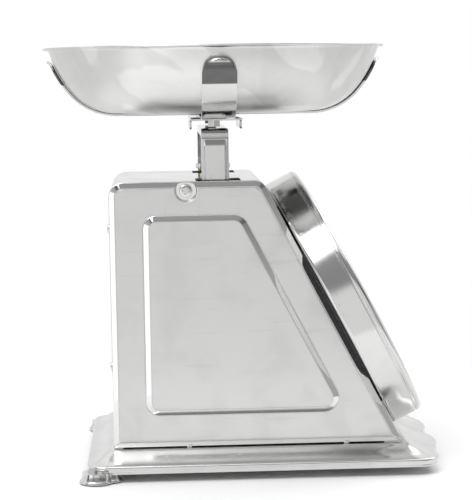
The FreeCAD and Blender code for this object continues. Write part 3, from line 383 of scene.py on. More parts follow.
bowlFinish = steel("polished_bowl", spunSteel)
stripFinish = steel("polished_strip", stripSteel)
strapFinish = steel("polished_strap", strapSteel)
panelFinish = steel("satin_panel", pressedSteel)
wrapFinish = steel("polished_wrap", dict(mirrorSteel, roughness=0.14))
baseFinish = steel("polished_base", dict(mirrorSteel, roughness=0.16))
drumFinish = steel("polished_drum", dict(mirrorSteel, roughness=0.11))
screwFinish = steel("plated_fasteners", platedSteel)
zincFinish = steel("zinc_plate", zincSteel)
springFinish = steel("spring_wire", springSteel)
brassFinish = steel("brass", brassLook)


def rubberFinish():
    f = Finish("rubber")
    grainy = f.noise(1400.0, 3.0)
    dust = f.noise(60.0, 3.0).between(0.5, 0.8)
    colour = f.mixed(dust, (0.018, 0.018, 0.019, 1), (0.07, 0.068, 0.065, 1))
    return f.use(Base_Color=colour, Roughness=0.62 + dust * 0.25, Normal=f.bump(grainy, 0.4, 0.00005))


def enamelFinish():
    f = Finish("dial_enamel")
    yellowed = f.noise(14.0, 3.0).between(0.35, 0.75)
    speck = f.noise(900.0, 1.0).between(0.74, 0.78)
    colour = f.mixed(yellowed, (0.86, 0.855, 0.83, 1), (0.83, 0.815, 0.775, 1))
    colour = f.mixed(speck * 0.35, colour, (0.5, 0.48, 0.44, 1))
    peel = f.bump(f.noise(500.0, 2.0), 0.12, 0.00004)
    return f.use(Base_Color=colour, Roughness=0.34 + yellowed * 0.1, Normal=peel)


def paintFinish(name, fresh, worn, roughness):
    f = Finish(name)
    fade = f.noise(120.0, 3.0).between(0.4, 0.75)
    colour = f.mixed(fade, fresh + (1,), worn + (1,))
    peel = f.bump(f.noise(1500.0, 2.0), 0.2, 0.00003)
    return f.use(Base_Color=colour, Roughness=roughness + fade * 0.12, Normal=peel)


def lensFinish():
    f = Finish("clear_lens")
    smear = f.noise(30.0, 3.0, lumps=0.8).between(0.5, 0.8)
    f.surface.inputs["Transmission Weight"].default_value = 1.0
    f.surface.inputs["IOR"].default_value = 1.46
    return f.use(Base_Color=(0.97, 0.985, 0.98, 1), Roughness=0.015 + smear * 0.05)


rubber = rubberFinish()
enamel = enamelFinish()
printInk = paintFinish("black_print", (0.012, 0.012, 0.013), (0.03, 0.03, 0.031), 0.45)
pointerRed = paintFinish("red_paint", (0.42, 0.012, 0.01), (0.5, 0.03, 0.022), 0.3)
clear = lensFinish()
print("finishes ready")


bowl = {
    "floorRadius": 60.6,
    "heelRadius": 36.0,
    "heelAngle": 42.0,
    "wallRadius": 66.0,
    "wallAngle": 15.3,
    "sheet": 0.9,
    "lipRadius": 0.68,
    "steps": 224,
}

bowlLow, bowlHigh = boxMm("bowl")
axisY = (bowlLow.y + bowlHigh.y) / 2
rimRadius = (bowlHigh.x - bowlLow.x) / 2


def bowlSide(offset, endAngle, steps=14):
    # the bowl's outside moved out by offset, from its axis outwards: (radius, height) and its normal
    heelCentre = Vector((bowl["floorRadius"], bowlLow.z + bowl["heelRadius"]))
    turn = math.radians(bowl["heelAngle"])
    away = Vector((math.cos(turn), -math.sin(turn)))
    wallCentre = heelCentre + away * (bowl["heelRadius"] - bowl["wallRadius"])
    out = []
    for i in range(steps):
        out.append((Vector((bowl["floorRadius"] * i / steps, bowlLow.z - offset)), Vector((0, -1))))
    for centre, radius, start, end in ((heelCentre, bowl["heelRadius"], 90, bowl["heelAngle"]),
                                       (wallCentre, bowl["wallRadius"], bowl["heelAngle"], endAngle)):
        for i in range(steps + 1):
            if i == 0 and start != 90:
                continue
            a = math.radians(start + (end - start) * i / steps)
            way = Vector((math.cos(a), -math.sin(a)))
            out.append((centre + way * (radius + offset), way))
    return out


def makeBowl():
    outside = [tuple(p) for p, way in bowlSide(0, bowl["wallAngle"], 22)]
    inside = [tuple(p) for p, way in bowlSide(-bowl["sheet"], bowl["wallAngle"], 22)]
    lip = bowl["lipRadius"]
    lipCentre = (rimRadius - lip, bowlHigh.z - lip)
    neck = (outside[-1][0] + 0.9, bowlHigh.z - 2 * lip + 0.06)
    rolled = arc(lipCentre, lip, -90, 90, 10)
    inner = [(inside[-1][0] + 1.4, bowlHigh.z - 0.12), (inside[-1][0] + 0.7, bowlHigh.z - 0.45)]
    flare = (outside[-1][0] + 0.1, outside[-1][1] - 0.35)
    profile = outside[:-1] + [flare, neck] + rolled + inner + inside[::-1]
    piece = spun("bowl_shell", profile, lambda p: (p[0], p[1] + axisY, p[2]), bowl["steps"])
    return settle(piece, "bowl", bowlFinish, "polished_steel", "bowl")


makeBowl()
print("bowl made")


def sweep(name, stations, sections, place):
    # stations are (point, out) in the strip's plane; sections are closed lists of (across, out)
    loops = []
    for (point, out), section in zip(stations, sections):
        loops.append([(a, point.x + out.x * o, point.y + out.y * o) for a, o in section])
    return loopsMesh(name, loops, place)


def stripSection(half, thick, corner):
    corner = min(corner, half * 0.6)
    out = []
    for cx, cy, start in ((half - corner, -corner, 0), (-half + corner, -corner, 90),
                          (-half + corner, -thick + corner, 180), (half - corner, -thick + corner, 270)):
        out += arc((cx, cy), corner, start, start + 90, 4)
    return out


strap = {
    "halfWidth": 10.0,
    "sheet": 1.5,
    "edge": 0.45,
    "tipAngle": 24.0,
    "curlRadius": 5.0,
    "curlAngle": 50.0,
}


def strapStations(gap):
    # outside surface of the strap from its middle out to the curled tip
    path = bowlSide(gap + strap["sheet"], strap["tipAngle"], 26)
    point, out = path[-1]
    centre = point + out * strap["curlRadius"]
    start = math.degrees(math.atan2(-out.y, -out.x))
    for i in range(1, 13):
        a = math.radians(start - strap["curlAngle"] * i / 12)
        way = Vector((math.cos(a), math.sin(a)))
        path.append((centre + way * strap["curlRadius"], -way))
    return path


def makeStrap(name, gap, sideways, node):
    path = strapStations(gap)
    lengths = [0.0]
    for (a, _), (b, _) in zip(path, path[1:]):
        lengths.append(lengths[-1] + (b - a).length)
    total = lengths[-1]
    half = strap["halfWidth"]
    # more stations close to the rounded tip
    fine, widths = [], []
    marks = [s for s in lengths if s < total - half]
    marks += [total - half * (1 - math.sin(math.pi / 2 * k / 20)) for k in range(21)]
    for s in marks:
        i = max(j for j in range(len(lengths) - 1) if lengths[j] <= s + 1e-9)
        t = min(1.0, (s - lengths[i]) / (lengths[i + 1] - lengths[i]))
        point = path[i][0].lerp(path[i + 1][0], t)
        out = path[i][1].lerp(path[i + 1][1], t).normalized()
        over = max(0.0, s - (total - half))
        fine.append((point, out))
        widths.append(max(0.5, math.sqrt(max(0.0, half ** 2 - over ** 2))))
    both = [(Vector((-p.x, p.y)), Vector((-o.x, o.y))) for p, o in fine[:0:-1]] + fine
    widths = widths[:0:-1] + widths
    sections = [stripSection(w, strap["sheet"], strap["edge"]) for w in widths]

    def place(p):
        across, along, z = p
        return (along, axisY + across, z) if sideways else (across, axisY + along, z)

    piece = sweep(name, both, sections, place)
    settle(piece, "platform", strapFinish, "polished_steel", node)


makeStrap("spider_strap_front_back", 0.4, False, "spider_strap_upper")
makeStrap("spider_strap_side_side", 1.9, True, "spider_strap_lower")

yoke = {
    "shoulder": 8.0,
    "sheet": 1.5,
    "edge": 1.1,
    "flange": 5.5,
    "embossMargin": 2.0,
    "embossHeight": 0.8,
    "embossTop": 10.0,
    "embossBottom": 60.0,
}


def rise(value, low, high):
    t = min(1.0, max(0.0, (value - low) / (high - low)))
    return t * t * (3 - 2 * t)


def makeYoke():
    low, high = boxMm("yoke")
    middleY = (low.y + high.y) / 2
    halfDepth = (high.y - low.y) / 2
    halfX, top, bottom = high.x, high.z, low.z
    radius = yoke["shoulder"]
    path = [(Vector((-halfX, bottom)), Vector((-1, 0)))]
    legSteps = 70
    for i in range(1, legSteps + 1):
        path.append((Vector((-halfX, bottom + (top - radius - bottom) * i / legSteps)), Vector((-1, 0))))
    for i in range(1, 13):
        a = math.radians(180 - 90 * i / 12)
        way = Vector((math.cos(a), math.sin(a)))
        path.append((Vector((-halfX + radius, top - radius)) + way * radius, way))
    for i in range(1, 13):
        path.append((Vector((-halfX + radius + (halfX - radius) * i / 12, top)), Vector((0, 1))))
    path += [(Vector((-p.x, p.y)), Vector((-o.x, o.y))) for p, o in path[-2::-1]]
    sheet, edge, flange = yoke["sheet"], yoke["edge"], yoke["flange"]
    sections = []
    for point, out in path:
        onLeg = abs(out.x) > 0.999
        down = top - point.y
        lift = 0.0
        if onLeg:
            lift = rise(down, yoke["embossTop"] - 1, yoke["embossTop"] + 1)
            lift *= 1 - rise(down, yoke["embossBottom"] - 1, yoke["embossBottom"] + 1)
        web = []
        rows = 44
        for k in range(rows + 1):
            a = (halfDepth - edge) * (1 - 2 * k / rows)
            side = rise(halfDepth - abs(a), yoke["embossMargin"] - 0.6, yoke["embossMargin"] + 0.6)
            web.append((a, (side * lift - 1) * yoke["embossHeight"]))
        bendOut = -edge - yoke["embossHeight"]
        outer = [(halfDepth, -flange)] + arc((halfDepth - edge, bendOut), edge, 0, 90, 5)[:-1]
        outer += web + arc((-halfDepth + edge, bendOut), edge, 90, 180, 5)[1:]
        outer += [(-halfDepth, -flange)]
        inside = halfDepth - sheet
        inner = [(-inside, -flange), (-inside, -sheet - 0.6), (-inside + 0.4, -sheet - 0.45),
                 (inside - 0.4, -sheet - 0.45), (inside, -sheet - 0.6), (inside, -flange)]
        sections.append(outer + inner)
    piece = sweep("yoke_channel", path, sections, lambda p: (p[1], middleY + p[0], p[2]))
    hardEdges(piece, 50)
    settle(piece, "platform", stripFinish, "polished_steel", "yoke")


makeYoke()

platform = {"sheet": 1.2, "bend": 1.6, "cornerRadius": 3.0, "lipHalf": 26.0}


def makePlatform():
    low, high = boxMm("platform_plate")
    halfLength = (high.y - low.y) / 2
    bend = platform["bend"]
    drop = high.z - low.z
    path = [(Vector((0.0, high.z)), Vector((0, 1)))]
    for i in range(1, 9):
        path.append((Vector(((halfLength - bend) * i / 8, high.z)), Vector((0, 1))))
    for i in range(1, 9):
        a = math.radians(90 - 90 * i / 8)
        way = Vector((math.cos(a), math.sin(a)))
        path.append((Vector((halfLength - bend, high.z - bend)) + way * bend, way))
    for i in range(1, 7):
        path.append((Vector((halfLength, high.z - bend - (drop - bend) * i / 6)), Vector((1, 0))))
    widths = []
    for point, out in path:
        fall = rise(high.z - point.y, 0.4, 1.8)
        tip = rise(high.z - point.y, drop - 2.0, drop)
        widths.append(high.x + (platform["lipHalf"] - high.x) * fall - tip * 1.2)
    both = [(Vector((-p.x, p.y)), Vector((-o.x, o.y))) for p, o in path[:0:-1]] + path
    widths = widths[:0:-1] + widths
    sections = [stripSection(w, platform["sheet"], 0.35) for w in widths]
    piece = sweep("platform_plate_pressed", both, sections, lambda p: (p[0], axisY + p[1], p[2]))
    settle(piece, "platform", stripFinish, "polished_steel", "platform_plate")


makePlatform()
print("spider, platform and yoke made")


housing = {
    "topReach": 26.0,
    "slope": 27.4,
    "radii": (1.5, 1.5, 9.0, 7.0),
    "fieldInset": 20.0,
    "fieldRadii": (9.0, 8.0, 8.0, 9.0),
    "recessRadius": 6.5,
    "recessFloor": 1.0,
    "flatHeight": 2.3,
    "fieldHeight": 1.5,
    "groove": 0.25,
    "gapBelow": 0.6,
    "tabReaches": (-20.0, 75.0),
}

wrapLow, wrapHigh = boxMm("housing_wrap")
panelLow = boxMm("side_panel_right")[0]


def housingCorners():
    bottom, top = wrapLow.z, wrapHigh.z
    frontTop = axisY - housing["topReach"]
    frontBottom = frontTop - (top - bottom) * math.tan(math.radians(housing["slope"]))
    return [Vector((frontBottom, bottom)), Vector((wrapHigh.y, bottom)),
            Vector((wrapHigh.y, top)), Vector((frontTop, top))]


def panelLoop(shrink, height, field=False):
    first = housing["fieldInset"] if field else 0.0
    radii = housing["fieldRadii"] if field else housing["radii"]
    corners = housingCorners()
    if not field:
        for corner in corners[:2]:
            corner.y += housing["gapBelow"]
    corners = insetCorners(corners, first + shrink)
    outline = roundedOutline(corners, [max(0.4, r - shrink) for r in radii], 10, 12)
    return [(p.x, p.y, height) for p in outline]


def markPolished(piece, centre, reach):
    # 1 on faces that slope or lie around the screw, 0 on the satin flats
    mark = piece.data.attributes.new("polish", "FLOAT", "FACE")
    values = []
    for face in piece.data.polygons:
        corners = [piece.data.vertices[i].co * 1000 for i in face.vertices]
        away = max(math.hypot(c.y - centre[0], c.z - centre[1]) for c in corners)
        values.append(1.0 if abs(face.normal.x) < 0.985 or away < reach else 0.0)
    mark.data.foreach_set("value", values)


def makePanel(name, side, node):
    joint = panelLow.x
    face, groove = housing["flatHeight"], housing["groove"]
    field = face + housing["fieldHeight"]
    # (distance inward, height above the joint): hem, sloped border and its groove
    border = [(0.45, 0), (0.45, 0.22), (0.08, 0.34), (0, 0.5), (0.04, 0.68), (0.16, 0.82), (0.4, 0.94),
              (1.6, 1.42), (2.9, 1.96), (3.25, 2.1), (3.4, 2.1), (3.52, 1.8), (3.8, 1.8), (3.92, face - 0.1),
              (4.05, face), (5.2, face)]
    # the same around the raised field: groove, slope, lip and inner groove
    step = [(-1.0, face), (-0.55, face), (-0.4, face - groove), (-0.15, face - groove), (0.0, face + 0.02),
            (0.25, face + 0.18), (2.85, field - 0.16), (3.1, field - 0.05), (3.3, field),
            (3.42, field - 0.26), (3.66, field - 0.26), (3.78, field), (4.1, field)]
    loops = [panelLoop(s, h) for s, h in border] + [panelLoop(s, h, True) for s, h in step]
    middle = sum((Vector((p[0], p[1])) for p in loops[-1]), Vector((0, 0))) / len(loops[-1])
    lip = panelLoop(step[-1][0], face, True)
    for share in (0.75, 0.4):
        loops.append([(middle.x + (p[0] - middle.x) * share, middle.y + (p[1] - middle.y) * share, field)
                      for p in lip])
    piece = loopsMesh(name, loops, lambda p: (side * (joint + p[2]), p[0], p[1]))
    screwLow, screwHigh = boxMm("side_panel_screws")
    centre = ((screwLow.y + screwHigh.y) / 2, (screwLow.z + screwHigh.z) / 2)
    radius, floor = housing["recessRadius"], housing["recessFloor"]
    above = face + 3
    profile = [(0.0, floor), (radius - 1.1, floor), (radius - 0.5, floor + 0.12),
               (radius - 0.15, floor + 0.45), (radius, face - 0.35), (radius + 0.25, face - 0.08),
               (radius + 0.7, face + 0.05), (radius + 0.7, above), (0.0, above)]
    cutter = spun("recess_cutter", profile,
                  lambda p: (side * (joint + p[2]), centre[0] + p[0], centre[1] + p[1]), 64)
    carve(piece, cutter)
    markPolished(piece, centre, radius + 1.5)
    hardEdges(piece, 40)
    settle(piece, "housing", panelFinish, "polished_steel", node)
    # tabs that hold the panel in the base's slots
    for reach in housing["tabReaches"]:
        mid = Vector((side * (wrapHigh.x + 1.0), axisY - reach, wrapLow.z))
        square = [Vector((-0.5, -1.5)), Vector((0.5, -1.5)), Vector((0.5, 1.5)), Vector((-0.5, 1.5))]
        rounds = roundedOutline(square, [0.2] * 4, 4, 1)
        tab = loopsMesh(name + "_tab", [[(p.x, p.y, z) for p in rounds] for z in (0.05, 0.3, 0.9, 1.4)],
                        lambda p: (mid.x + p[0], mid.y + p[1], mid.z + p[2]))
        settle(tab, "housing", baseFinish, "polished_steel")


makePanel("side_panel_right_pressed", 1, "side_panel_right")
makePanel("side_panel_left_pressed", -1, "side_panel_left")
print("side panels made")


base = {
    "backReach": 81.5,
    "frontReach": 129.0,
    "bow": 6.0,
    "halfWidth": 77.0,
    "cornerRadius": 12.0,
    "lobeSpan": 24.0,
    "rim": 10.0,
    "top": 16.0,
    "skirt": 5.0,
    "topMargin": 2.5,
    "topRadius": 4.0,
}


def baseLoop(shrink, z, share=0.0):
    # share 0 is the bowed rim, 1 the plain rectangle that the housing stands on
    front = axisY - base["frontReach"]
    back = axisY + base["backReach"]
    half = base["halfWidth"]
    corners = [Vector((-half, front)), Vector((half, front)), Vector((half, back)), Vector((-half, back))]
    margin = base["topMargin"]
    topHalf = wrapHigh.x + housing["flatHeight"] + margin
    topFront = housingCorners()[0].x - margin
    topBack = wrapHigh.y + margin
    topCorners = [Vector((-topHalf, topFront)), Vector((topHalf, topFront)),
                  Vector((topHalf, topBack)), Vector((-topHalf, topBack))]
    corners = insetCorners(corners, shrink)
    corners = [a.lerp(b, share) for a, b in zip(corners, topCorners)]
    radius = max(0.5, (base["cornerRadius"] - shrink) * (1 - share) + base["topRadius"] * share)
    outline = roundedOutline(corners, [radius] * 4, 12, 40)
    frontY = corners[0].y
    loop = []
    for p in outline:
        y = p.y
        if abs(p.y - frontY) < 1e-4:
            span = 2 * base["lobeSpan"]
            along = abs(abs(p.x) - base["lobeSpan"] * 0.93) / base["lobeSpan"]
            lobe = max(0.0, 1 - along ** 2)
            if abs(p.x) < span:
                y -= (base["bow"] * lobe) * (1 - share)
        loop.append((p.x, y, z))
    return loop


def makeBase():
    rim, top, skirt = base["rim"], base["top"], base["skirt"]
    stack = [(2.2, skirt, 0), (0.9, skirt, 0), (0.35, skirt + 0.15, 0), (0.1, skirt + 0.5, 0),
             (0.35, skirt + 1.3, 0), (0.45, rim - 2.6, 0), (0.2, rim - 2.0, 0), (0.0, rim - 1.3, 0),
             (0.25, rim - 0.5, 0), (0.8, rim - 0.08, 0), (1.5, rim, 0), (2.4, rim - 0.08, 0),
             (3.4, rim, 0), (4.4, rim + 0.25, 0)]
    loops = [baseLoop(*row) for row in stack]
    for t in (0.12, 0.3, 0.5, 0.7, 0.86, 0.95, 1.0):
        ease = t - 0.06 * math.sin(2 * math.pi * t)
        loops.append(baseLoop(4.4, rim + 0.25 + (top - rim - 0.25) * min(1.0, ease + 0.02 * (t > 0.9)), t))
    inner = [(p[0] * 0.97, p[1] * 0.97, top) for p in loops[-1]]
    loops[-1] = [(p[0], p[1], top - 0.05) for p in loops[-1]]
    loops.append(inner)
    piece = loopsMesh("base_plate_pressed", loops, lambda p: p)
    hardEdges(piece, 55)
    settle(piece, "housing", baseFinish, "polished_steel", "base_plate")


makeBase()

foot = {
    "mainRadius": 10.5,
    "sideRadius": 8.0,
    "flare": 2.0,
    "sole": 0.8,
    "postRadius": 8.5,
    "padRadius": 7.0,
    "padTop": 3.0,
}


def makeFoot(name, padNode, sideX, atBack):
    low, high = boxMm(padNode)
    x, y = (low.x + high.x) / 2, (low.y + high.y) / 2
    padRadius, padTop = foot["padRadius"], foot["padTop"]
    side = softened([(0.0, 0.0), (padRadius - 0.4, 0.0), (padRadius, 0.5), (padRadius, padTop - 0.4),
                     (padRadius - 0.4, padTop), (0.0, padTop)], 0.3, 4)
    pad = spun(name + "_pad", side, lambda p: (x + p[0], y + p[1], p[2]), 64)
    settle(pad, "housing", rubber, "rubber", padNode)
    if not atBack:
        r, sole, top = foot["postRadius"], foot["sole"], base["rim"] + 0.6
        profile = [(0.0, sole), (r - 0.5, sole), (r - 0.15, sole + 0.15), (r, sole + 0.5), (r, top),
                   (0.0, top)]
        post = spun(name, profile, lambda p: (x + p[0], y + p[1], p[2]), 64)
        hardEdges(post, 45)
        settle(post, "housing", baseFinish, "polished_steel")
        return

    def lobe(dx, dy, radius):
        top = base["skirt"] + 1.6
        sole = foot["sole"]
        profile = [(0.0, sole), (radius - 0.5, sole), (radius - 0.12, sole + 0.12), (radius, sole + 0.5),
                   (radius - 0.35, sole + 1.3), (radius - foot["flare"] * 0.75, sole + 2.6),
                   (radius - foot["flare"], top), (0.0, top)]
        return spun(name, profile, lambda p: (x + dx + p[0], y + dy + p[1], p[2]), 72)

    piece = lobe(0, 0, foot["mainRadius"])
    carve(piece, lobe(-sideX * 2.5, -7.5, foot["sideRadius"]), "UNION")
    carve(piece, lobe(-sideX * 9.5, -0.5, foot["sideRadius"]), "UNION")
    piece.name = name
    hardEdges(piece, 45)
    settle(piece, "housing", baseFinish, "polished_steel")


for sideX, nameX in ((-1, "left"), (1, "right")):
    for nameY in ("front", "back"):
        makeFoot("foot_" + nameY + "_" + nameX, "foot_pad_" + nameY + "_" + nameX, sideX, nameY == "back")
print("base and feet made")


dial = {
    "radius": 85.0,
    "standOff": 1.2,
    "height": 93.711,
    "depth": 17.8,
    "bezelTop": 20.8,
    "plateLevel": 8.8,
    "pointerLevel": 11.8,
    "lensLevel": 17.0,
    "sheet": 1.0,
    "bore": 4.6,
    "facePlate": 0.8,
    "figureRadius": 57.5,
    "figureSize": 14.5,
    "unitSize": 12.0,
    "unitDrop": 28.0,
    "kilos": 5,
    "sweep": 346.0,
}

slope = math.radians(housing["slope"])
wallDrop = wrapHigh.z - dial["height"] + dial["standOff"] * math.sin(slope)
wallY = axisY - housing["topReach"] - wallDrop * math.tan(slope)
dialBase = Vector((0, wallY - dial["standOff"] * math.cos(slope), dial["height"]))
dialTurn = Matrix.Rotation(math.pi / 2 - slope, 3, "X")


def onDial(p):
    return dialBase + dialTurn @ Vector(p)


def makeDrum():
    r, depth, top = dial["radius"], dial["depth"], dial["bezelTop"]
    outside = [(r - 1.6, 0.0), (r - 0.8, 0.12), (r - 0.25, 0.5), (r, 1.3), (r, 2.0)]
    outside += [(r, depth - 2.4), (r - 0.12, depth - 2.1), (r - 0.45, depth - 1.9), (r - 0.45, depth - 1.3),
                (r - 0.12, depth - 1.1), (r - 0.02, depth - 0.8), (r - 0.02, depth - 0.05)]
    bore, sheet = dial["bore"], dial["sheet"]
    inside = [(r - sheet, depth - 0.05), (r - sheet, sheet + 0.4), (r - sheet - 0.4, sheet), (bore, sheet)]
    profile = [(bore, 0.0)] + outside + inside + [(bore, 0.0)]
    drum = spun("dial_drum_pan", profile, onDial, 288)
    hardEdges(drum, 50)
    settle(drum, "housing", drumFinish, "polished_steel", "dial_drum")
    ring = [(r - 6.5, depth + 0.05), (r, depth + 0.05)] + arc((r - 2.6, top - 2.6), 2.6, 0, 90, 12)
    ring += [(r - 5.0, top), (r - 5.4, top - 0.3), (r - 6.5, depth + 0.05)]
    bezel = spun("dial_bezel_ring", ring, onDial, 288)
    hardEdges(bezel, 50)
    settle(bezel, "housing", drumFinish, "polished_steel", "dial_bezel")


makeDrum()


def makeFace():
    r = dial["radius"] - 1.2
    level = dial["plateLevel"]
    hole, front = 3.0, level + dial["facePlate"]
    side = [(hole, level), (r, level), (r, front - 0.1), (r - 0.2, front), (hole + 0.1, front),
            (hole, front - 0.1), (hole, level)]
    plate = spun("dial_face", side, onDial, 192)
    hardEdges(plate, 40)
    settle(plate, "housing", enamel, "dial_enamel", "dial_plate")
    profile = [(0.0, dial["lensLevel"]), (r, dial["lensLevel"]), (r, dial["depth"]), (r - 4, dial["depth"]),
               (0.0, dial["depth"])]
    lens = spun("dial_lens_disc", profile, onDial, 160)
    hardEdges(lens, 30)
    settle(lens, "housing", clear, "clear_lens", "dial_lens")


makeFace()


def treeWith(name, inputs):
    tree = bpy.data.node_groups.new(name, "GeometryNodeTree")
    for label, kind, start in inputs:
        socket = tree.interface.new_socket(name=label, in_out="INPUT", socket_type=kind)
        if start is not None:
            socket.default_value = start
    tree.interface.new_socket(name="Geometry", in_out="OUTPUT", socket_type="NodeSocketGeometry")
    return tree, tree.nodes.new("NodeGroupInput"), tree.nodes.new("NodeGroupOutput")


def geo(tree, kind, settings=None, **inputs):
    node = tree.nodes.new(kind)
    for key, setting in (settings or {}).items():
        setattr(node, key, setting)
    for key, part in inputs.items():
        label = key.replace("_", " ")
        socket = next(s for s in node.inputs if s.name == label and s.enabled)
        if isinstance(part, bpy.types.NodeSocket):
            tree.links.new(part, socket)
        else:
            socket.default_value = part
    return node


def finishTree(tree, leaving, geometry, material):
    real = geo(tree, "GeometryNodeRealizeInstances", Geometry=geometry)
    coat = geo(tree, "GeometryNodeSetMaterial", Geometry=real.outputs[0], Material=material)
    tree.links.new(coat.outputs[0], leaving.inputs[0])


def grown(name, tree, values, points=None):
    # runs a geometry tree once and keeps its result as a plain mesh
    host = bpy.data.objects.new(name, points or bpy.data.meshes.new(name))
    sceneNow.collection.objects.link(host)
    grow = host.modifiers.new("grow", "NODES")
    grow.node_group = tree
    for item in tree.interface.items_tree:
        if item.in_out == "INPUT" and item.name in values:
            grow[item.identifier] = values[item.name]
    return applied(host)


def tickTree():
    tree, entering, leaving = treeWith("dial_ticks", [
        ("Count", "NodeSocketInt", 51),
        ("Radius", "NodeSocketFloat", 0.07),
        ("Length", "NodeSocketFloat", 0.005),
        ("Width", "NodeSocketFloat", 0.0005),
        ("Sweep", "NodeSocketFloat", 6.0),
        ("Material", "NodeSocketMaterial", None),
    ])
    given = entering.outputs
    line = geo(tree, "GeometryNodeMeshLine", Count=given["Count"])
    index = Value(tree, geo(tree, "GeometryNodeInputIndex").outputs[0])
    turn = index / (Value(tree, given["Count"]) - 1.0) * Value(tree, given["Sweep"])
    radius = Value(tree, given["Radius"])
    spot = geo(tree, "ShaderNodeCombineXYZ", X=(turn.maths("SINE") * radius).socket,
               Y=(turn.maths("COSINE") * radius).socket)
    twist = geo(tree, "ShaderNodeCombineXYZ", Z=(turn * -1.0).socket)
    moved = geo(tree, "GeometryNodeSetPosition", Geometry=line.outputs[0], Position=spot.outputs[0])
    size = geo(tree, "ShaderNodeCombineXYZ", X=given["Width"], Y=given["Length"], Z=0.0001)
    bar = geo(tree, "GeometryNodeMeshCube", Size=size.outputs[0])
    placed = geo(tree, "GeometryNodeInstanceOnPoints", Points=moved.outputs[0], Instance=bar.outputs[0],
                 Rotation=twist.outputs[0])
    finishTree(tree, leaving, placed.outputs[0], given["Material"])
    return tree


def printedText(words, size, x, y, steps):
    # figures as a thin mesh on the dial's own plane, in metres
    text = bpy.data.curves.new("print", "FONT")
    text.body = words
    text.align_x, text.align_y = "CENTER", "CENTER"
    text.size = size * toMetres
    text.extrude = 0.00005
    text.resolution_u = steps
    letters = bpy.data.objects.new("print", text)
    sceneNow.collection.objects.link(letters)
    graph = bpy.context.evaluated_depsgraph_get()
    mesh = bpy.data.meshes.new_from_object(letters.evaluated_get(graph))
    bpy.data.objects.remove(letters)
    mesh.transform(Matrix.Translation(Vector((x, y, 0)) * toMetres))
    return mesh


def makeScale():
    tree = tickTree()
    sweep = math.radians(dial["sweep"])
    kilos = dial["kilos"]
    # marks along the sweep, their middle radius, length and width
    steps = ((kilos, 69.5, 8.0, 1.1), (kilos * 2, 70.2, 6.6, 0.75), (kilos * 10, 71.2, 4.6, 0.5),
             (kilos * 40, 72.3, 2.4, 0.26))
    meshes = []
    for marks, radius, length, width in steps:
        ticks = grown("ticks", tree, {
            "Count": marks + 1,
            "Radius": radius * toMetres,
            "Length": length * toMetres,
            "Width": width * toMetres,
            "Sweep": sweep,
            "Material": printInk,
        })
        meshes.append(ticks.data)
        bpy.data.objects.remove(ticks)
    for kilo in range(kilos + 1):
        turn = sweep * kilo / kilos
        x, y = math.sin(turn) * dial["figureRadius"], math.cos(turn) * dial["figureRadius"]
        meshes.append(printedText(str(kilo), dial["figureSize"], x, y, 6))
    meshes.append(printedText("kg", dial["unitSize"], 0, -dial["unitDrop"], 12))
    whole = bmesh.new()
    for mesh in meshes:
        whole.from_mesh(mesh)
    mesh = bpy.data.meshes.new("dial_print")
    whole.to_mesh(mesh)
    whole.free()
    piece = bpy.data.objects.new("dial_print", mesh)
    sceneNow.collection.objects.link(piece)
    front = onDial((0, 0, dial["plateLevel"] + dial["facePlate"]))
    mesh.transform(Matrix.Translation(front * toMetres) @ dialTurn.to_4x4())
    settle(piece, "housing", printInk, "dial_enamel")


makeScale()

pointer = {
    "length": 64.0,
    "tail": 20.0,
    "hub": 5.0,
    "sheet": 0.8,
    "tailHalf": 2.2,
    "middleHalf": 1.8,
    "tipHalf": 0.4,
    "capRadius": 4.0,
    "capHeight": 2.6,
}


def makePointer():
    rows = []
    level = dial["pointerLevel"]
    sheet = pointer["sheet"]
    stations = 40
    for i in range(stations + 1):
        y = -pointer["tail"] + (pointer["length"] + pointer["tail"]) * i / stations
        half = pointer["middleHalf"]
        if y < 0:
            half += (pointer["tailHalf"] - half) * -y / pointer["tail"]
        else:
            half += (pointer["tipHalf"] - half) * y / pointer["length"]
        if abs(y) < pointer["hub"]:
            half = max(half, math.sqrt(pointer["hub"] ** 2 - y ** 2))
        if i in (0, stations):
            half *= 0.6
        edge = min(0.25, half * 0.4)
        rows.append([(-half, y, level), (-half, y, level + sheet - edge), (-half + edge, y, level + sheet),
                     (half - edge, y, level + sheet), (half, y, level + sheet - edge), (half, y, level)])
    piece = loopsMesh("pointer_hand", rows, onDial)
    hardEdges(piece, 30)
    settle(piece, "pointer", pointerRed, "pointer_paint", "pointer")
    low = level + sheet
    wide, crown = pointer["capRadius"], low + pointer["capHeight"]
    shoulder = arc((wide - 1, crown - 1.1), 1.0, 0, 80, 6)
    dome = [(0.0, low), (wide, low), (wide, crown - 1.1)] + shoulder
    dome += [(wide - 1.8, crown - 0.04), (0.0, crown)]
    cap = spun("pointer_cap_dome", dome, onDial, 64)
    settle(cap, "pointer", screwFinish, "polished_steel", "pointer_cap")


makePointer()
print("dial made")


knob = {
    "flutes": 24,
    "fluteDepth": 0.7,
    "height": 3.2,
    "neckRadius": 4.4,
    "stemRadius": 2.5,
    "dishDepth": 0.3,
}


